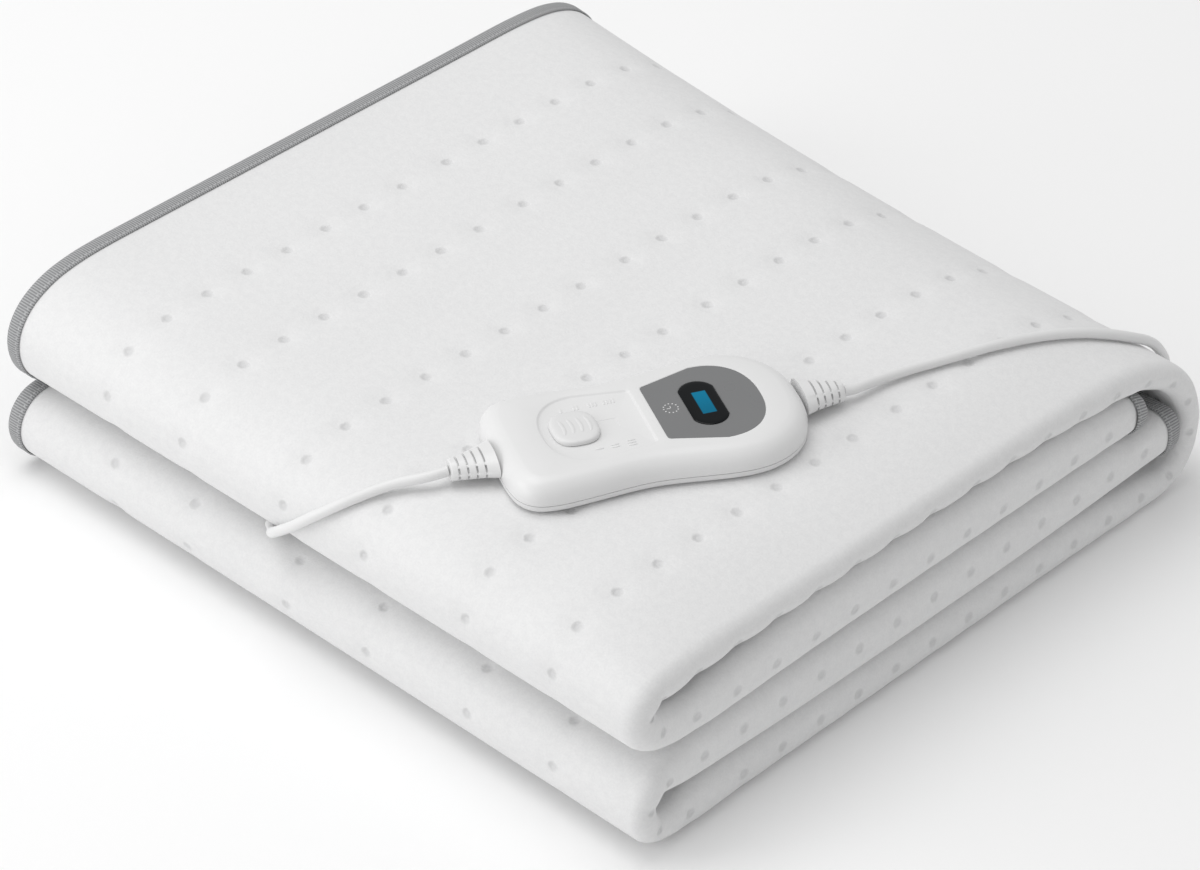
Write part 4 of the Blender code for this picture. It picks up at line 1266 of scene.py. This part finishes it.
@dataclass
class Handset:
    """The slide-switch handset: base, cover, display, button, strain reliefs and marks."""

    centre: tuple[float, float] = (90.9, -70.7)
    turn: float = 62.85
    rest: float = 102.3
    seam: float = 4.0
    face: float = 15.0
    gap: float = 0.3
    outline: tuple[tuple[float, float], ...] = (
        (-71.0, 0.0),
        (-71.0, 12.5),
        (-70.6, 19.8),
        (-69.2, 26.6),
        (-65.9, 31.9),
        (-60.7, 35.2),
        (-52.3, 36.5),
        (-41.8, 36.2),
        (-29.3, 35.2),
        (-16.7, 34.2),
        (-6.3, 34.2),
        (5.2, 35.6),
        (16.7, 37.5),
        (27.2, 39.0),
        (36.6, 39.4),
        (44.9, 38.3),
        (53.3, 35.0),
        (60.6, 29.6),
        (65.8, 22.9),
        (69.4, 14.6),
        (70.8, 6.8),
        (71.0, 0.0),
    )
    shoulder: tuple[tuple[float, float], ...] = (
        (0.0, 0.3),
        (0.0, 2.8),
        (0.7, 5.3),
        (2.3, 7.8),
        (5.0, 9.9),
        (8.6, 11.0),
    )
    base_round: tuple[tuple[float, float], ...] = ((0.35, -0.7), (0.55, -0.6), (0.8, -0.5), (1.2, -0.4))
    base_round_high: float = 2.2
    recess: tuple[float, float, float, float] = (-49.5, -1.8, 24.0, 20.6)
    recess_depth: float = 0.8
    panel: tuple[float, float, float, float] = (52.5, 2.2, 27.3, 20.6)
    panel_thick: float = 1.0
    corner: float = 2.4
    lens: tuple[float, float, float, float] = (25.8, 0.0, 8.2, 16.4)
    lens_sagitta: float = 5.6
    clock: tuple[float, float] = (10.9, 0.9)
    button_at: float = -34.0
    button_half: tuple[float, float] = (10.6, 11.6)
    button_ribs: int = 4
    rib_pitch: float = 4.0
    rib_half: float = 5.4
    rib_bow: float = 0.9
    rib_foot: float = 0.8
    slot_half: float = 3.1
    slot: tuple[float, float] = (-39.1, -13.9)
    slot_depth: float = 2.6
    relief_long: float = 20.0
    relief_wide: tuple[float, float] = (11.8, 6.0)
    relief_narrow: float = 4.8
    relief_up: float = 7.6
    relief_sinks: float = 1.5
    relief_sides: int = 72
    relief_slots: int = 4
    relief_first: float = 5.5
    relief_pitch: float = 3.75
    relief_slot_wide: float = 1.0
    relief_cut: float = 1.9
    relief_shallower: float = 0.08
    relief_rim: float = 0.5
    relief_rim_round: float = 0.4
    # How far along a slot each ring lies, in slot widths, and its share of the slot's depth.
    slot_rings: tuple[tuple[float, float], ...] = ((-0.5, 0.0), (-0.38, 1.0), (0.38, 1.0), (0.5, 0.0))
    # Degrees from one side over the top or the bottom to the other.
    relief_spines: tuple[float, ...] = (0.0, 45.0, 135.0, 180.0)
    spine_half: float = 0.08
    spine_edge: float = 0.06

    def place(self, bm: bmesh.types.BMesh) -> bmesh.types.BMesh:
        """Take a shape from the handset's own millimetres to its place on the blanket."""
        move = Matrix.Translation((self.centre[0] * MM, self.centre[1] * MM, self.rest * MM))
        turned = move @ Matrix.Rotation(math.radians(self.turn), 4, "Z") @ Matrix.Scale(MM, 4)
        bmesh.ops.transform(bm, matrix=turned, verts=bm.verts)
        bmesh.ops.recalc_face_normals(bm, faces=bm.faces)
        return bm

    def fit(
        self,
        name: str,
        bm: bmesh.types.BMesh,
        finish: bpy.types.Material,
        nodes: Sequence[str] = (),
        body: str = "root",
        sharp_from: float = 40.0,
    ) -> bpy.types.Object:
        """Finish one piece of the handset.

        Args:
            name: The piece's name.
            bm: Its shape in the handset's own millimetres.
            finish: Its material.
            nodes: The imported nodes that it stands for.
            body: The body that it rides on.
            sharp_from: Edges sharper than this many degrees stay sharp.

        Returns:
            The piece.
        """
        piece = add_piece(name, self.place(bm), finish, sharp_from)
        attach(piece, body)
        if nodes:
            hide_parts(*nodes)
        LOG.info("%s, %d faces", name, len(piece.data.polygons))
        return piece

    def smooth_outline(self) -> np.ndarray:
        """The housing's outline with even, close points."""
        half = np.array(self.outline)
        closed = [(half[1][0], -half[1][1]), *half, (half[-2][0], -half[-2][1])]
        line = smooth_line(closed, 2.4)
        line = line[(line[:, 1] >= -0.2)]
        line[0, 1] = line[-1, 1] = 0.0
        return half_to_full([tuple(p) for p in line])

    def housing(self, finishes: Finishes) -> None:
        """Base and cover, with the recess round the button, its slot and the panel's pocket."""
        outline = self.smooth_outline()
        bm = bmesh.new()
        face = flat_face(bm, outline, self.seam + self.gap)
        top = extrude_up(bm, face, self.shoulder[1][1] - self.gap)
        curve = smooth_line(self.shoulder[1:], 1.0)
        step_in(bm, top, [tuple(step) for step in np.diff(curve, axis=0)])
        recess = flat_face(bm, d_outline(*self.recess, self.corner), self.face)
        pocket = flat_face(bm, d_outline(*self.panel, self.corner), self.face)
        plate_round(bm, top, [recess, pocket])
        down = self.recess_depth
        steep, slight = (0.4, -0.42 * down), (0.25, -0.08 * down)
        step_in(bm, recess, [slight, steep, steep, slight])
        slot = flat_face(bm, self.slot_outline(), self.face - down)
        plate_round(bm, recess, [slot])
        step_in(bm, slot, [(0.15, -0.15)])
        slot = extrude_down(bm, slot, self.slot_depth - 0.15)
        step_in(bm, pocket, [(0.12, -0.12)])
        extrude_down(bm, pocket, self.panel_thick + self.gap - 0.12)
        self.fit("handset_cover_moulding", bm, finishes.housing, ["handset_cover"])

        bm = bmesh.new()
        face = flat_face(bm, outline, self.seam)
        step_in(bm, face, [(0.3, 0.0)])
        rim = [f for f in bm.faces if f is not face]
        bmesh.ops.delete(bm, geom=rim, context="FACES")
        bottom = extrude_down(bm, face, self.seam - self.base_round_high)
        bmesh.ops.reverse_faces(bm, faces=[bottom])
        step_in(bm, bottom, self.base_round)
        self.fit("handset_base_moulding", bm, finishes.housing, ["handset_base"])

    def slot_outline(self) -> np.ndarray:
        """The slot that the button's stem runs in."""
        low, high = self.slot
        half = self.slot_half
        return np.array([(low, -half), (high, -half), (high, half), (low, half)])

    def display(self, finishes: Finishes) -> None:
        """The grey panel let into the cover, the window in it and its printed clock sign."""
        bm = bmesh.new()
        inner = np.array(self.panel) + self.gap * np.array((-1.0, 1.0, -1.0, -1.0))
        low = self.face - self.panel_thick
        bottom = flat_face(bm, d_outline(*inner, self.corner - self.gap), low)
        top = extrude_up(bm, bottom, self.panel_thick - 0.15)
        step_in(bm, top, [(0.15, 0.15)])
        x, y, half_x, half_y = self.lens
        hole = flat_face(bm, stadium(x, y, half_x + 0.35, half_y + 0.35, self.lens_sagitta), self.face)
        plate_round(bm, top, [hole])
        step_in(bm, hole, [(0.1, -0.1)])
        extrude_down(bm, hole, self.panel_thick - 0.4)
        self.fit("display_panel_moulding", bm, finishes.panel, ["display_panel"])

        bm = bmesh.new()
        bottom = flat_face(bm, stadium(x, y, half_x, half_y, self.lens_sagitta), low + 0.4)
        top = extrude_up(bm, bottom, self.panel_thick - 0.4 + 0.1)
        step_in(bm, top, [(0.2, 0.16), (0.35, 0.12), (0.8, 0.08), (1.5, 0.05)])
        chart = bm.loops.layers.uv.new(Chart.FACE.value)
        for face in bm.faces:
            for corner in face.loops:
                corner[chart].uv = corner.vert.co.xy
        self.fit("display_lens", bm, finishes.lens, ["display_window"])
        self.clock_sign(finishes)

    def clock_sign(self, finishes: Finishes) -> None:
        """A ring of dots with two clock hands, printed on the panel."""
        bm = bmesh.new()
        centre, ring, height = self.clock, 3.3, self.face + 0.02
        for k in range(12):
            angle = math.tau * k / 12
            x, y = centre[0] + ring * math.cos(angle), centre[1] + ring * math.sin(angle)
            made = bmesh.ops.create_circle(bm, cap_ends=True, segments=10, radius=0.36)
            bmesh.ops.translate(bm, verts=made["verts"], vec=(x, y, height))
        for outline in (
            rounded_oblong(centre[0] - 0.9, centre[1], 1.1, 0.18, 6.0, 16),
            rounded_oblong(centre[0], centre[1] + 0.7, 0.18, 0.9, 6.0, 16),
        ):
            flat_face(bm, outline, height)
        bmesh.ops.solidify(bm, geom=bm.faces[:], thickness=0.04)
        self.fit("clock_sign", bm, finishes.marking)

    def button(self, finishes: Finishes) -> None:
        """The sliding button: a domed oblong with curved ribs, on its stem."""
        low = self.face - self.recess_depth + self.gap
        bm = bmesh.new()
        bottom = flat_face(bm, rounded_oblong(self.button_at, 0.0, *self.button_half, 2.7, 64), low)
        top = extrude_up(bm, bottom, 0.9)
        step_in(bm, top, [(0.12, 0.4), (0.25, 0.35), (0.45, 0.3), (0.8, 0.2), (1.4, 0.15)])
        stem = flat_face(bm, rounded_oblong(self.button_at, 0.0, 4.5, 2.5, 6.0, 24), low + 0.2)
        extrude_down(bm, stem, self.slot_depth - self.gap + 0.1)
        for k in range(self.button_ribs):
            along = self.button_at + (k - (self.button_ribs - 1) / 2) * self.rib_pitch
            rib = flat_face(bm, self.rib_outline(along), low + 2.15)
            step_in(bm, extrude_up(bm, rib, 0.2), [(0.25, 0.13)])
        stands_for = ["slide_button"]
        self.fit("ribbed_slide_button", bm, finishes.button, stands_for, "slider", 45.0)

    def rib_outline(self, along: float) -> np.ndarray:
        """A finger rib as a thin curved strip across the button."""
        across = np.linspace(-self.rib_half, self.rib_half, 13)
        bow = self.rib_bow * (1.0 - (across / self.rib_half) ** 2)
        taper = self.rib_foot * np.sqrt(np.clip(1.02 - (across / self.rib_half) ** 4, 0.05, 1.0))
        front = np.stack([along + bow + taper, across], axis=1)
        back = np.stack([along + bow - taper, across], axis=1)
        return np.concatenate([front, back[::-1]])

    def marks(self, finishes: Finishes) -> None:
        """Raised level marks in the recess: dashes on one side, one to three bars on the other."""
        bm = bmesh.new()
        floor = self.face - self.recess_depth
        bars = []
        for k, along in enumerate((-35.4, -28.5, -20.8, -13.3)):
            for n in range(min(k, 3) + 1):
                bars.append((along + (n - min(k, 3) / 2) * 1.5, 15.2, 0.35, 1.5))
        for k, along in enumerate((-28.0, -20.8, -13.1)):
            for n in range(k + 1):
                bars.append((along, -16.2 + (n - k / 2) * 1.7, 1.9, 0.4))
        for x, y, half_x, half_y in bars:
            face = flat_face(bm, rounded_oblong(x, y, half_x, half_y, 5.0, 12), floor - 0.05)
            step_in(bm, extrude_up(bm, face, 0.27), [(0.1, 0.06)])
        self.fit("level_marks", bm, finishes.housing)

    def relief(self, side: int, name: str, node: str, finishes: Finishes) -> None:
        """A tapered sleeve with broken slots across it, where a lead leaves the housing.

        Args:
            side: 1 for the mains side, -1 for the blanket side.
            name: The piece's name.
            node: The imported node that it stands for.
            finishes: The object's finishes.
        """
        start = self.outline[-1][0] + self.gap
        stations = [(0.0, 0.0)]
        for k in range(self.relief_slots):
            middle = self.relief_first + k * self.relief_pitch
            deep = self.relief_cut * (1.0 - self.relief_shallower * k)
            for offset, part in self.slot_rings:
                stations.append((middle + offset * self.relief_slot_wide, deep * part))
        stations.append((self.relief_long - self.relief_rim, 0.0))
        stations.append((self.relief_long, self.relief_rim_round))
        angles = np.linspace(-math.pi, math.pi, self.relief_sides + 1)[:-1]
        # The slots stop short of a spine on each side, and of two above and two below.
        spines = np.radians(self.relief_spines)
        away = np.abs(np.abs(angles)[:, None] - spines[None, :]).min(axis=1)
        slotted = np.clip((away - self.spine_half) / self.spine_edge, 0.0, 1.0)
        bm = bmesh.new()
        previous = None
        for along, groove in stations:
            share = along / self.relief_long
            taper = share**0.8
            cut = groove * slotted if along < self.relief_long else groove
            half_w = self.relief_wide[0] + (self.relief_narrow - self.relief_wide[0]) * taper - cut
            half_h = self.relief_wide[1] + (self.relief_narrow - self.relief_wide[1]) * taper - cut
            across = half_w * np.cos(angles)
            height = self.relief_up - self.relief_sinks * share + half_h * np.sin(angles)
            x = side * (start + along)
            ring = [bm.verts.new((x, y, z)) for y, z in zip(across, height)]
            if previous is None:
                bm.faces.new(ring)
            else:
                for m in range(len(ring)):
                    n = (m + 1) % len(ring)
                    bm.faces.new((previous[m], previous[n], ring[n], ring[m]))
            previous = ring
        bm.faces.new(previous)
        self.fit(name, bm, finishes.housing, [node], sharp_from=35.0)

    def build(self, finishes: Finishes) -> None:
        """Make every piece of the handset.

        Args:
            finishes: The object's finishes.
        """
        self.housing(finishes)
        self.display(finishes)
        self.button(finishes)
        self.marks(finishes)
        self.relief(-1, "blanket_side_relief", "relief_blanket_side", finishes)
        self.relief(1, "mains_side_relief", "relief_mains_side", finishes)


@dataclass
class CarriedOver:
    """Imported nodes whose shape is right, with finished materials."""

    def dress(self, nodes: Mapping[str, bpy.types.Object], finishes: Finishes) -> None:
        """Give the plug and the coil's tie their materials."""
        wanted = {
            "coil_tie": finishes.tie,
            "plug_sleeve": finishes.lead,
            "plug_body": finishes.lead,
            "plug_pin_left": finishes.steel,
            "plug_pin_right": finishes.steel,
        }
        for name, finish in wanted.items():
            for slot in nodes[name].material_slots:
                slot.material = finish
            LOG.info("%s keeps its packed shape", name)


def main() -> None:
    """Load the frame, make every piece in order and note the sizes."""
    logging.basicConfig(level=logging.INFO, format="%(name)s: %(message)s")
    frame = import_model()
    Studio().build()
    finishes = Finishes()
    Leads().build(finishes)
    cover = FoldedBlanket()
    blanket = cover.build(finishes)
    EdgeTape().build(cover, blanket, finishes)
    Handset().build(finishes)
    CarriedOver().dress(frame["nodes"], finishes)


if __name__ == "__main__":
    main()
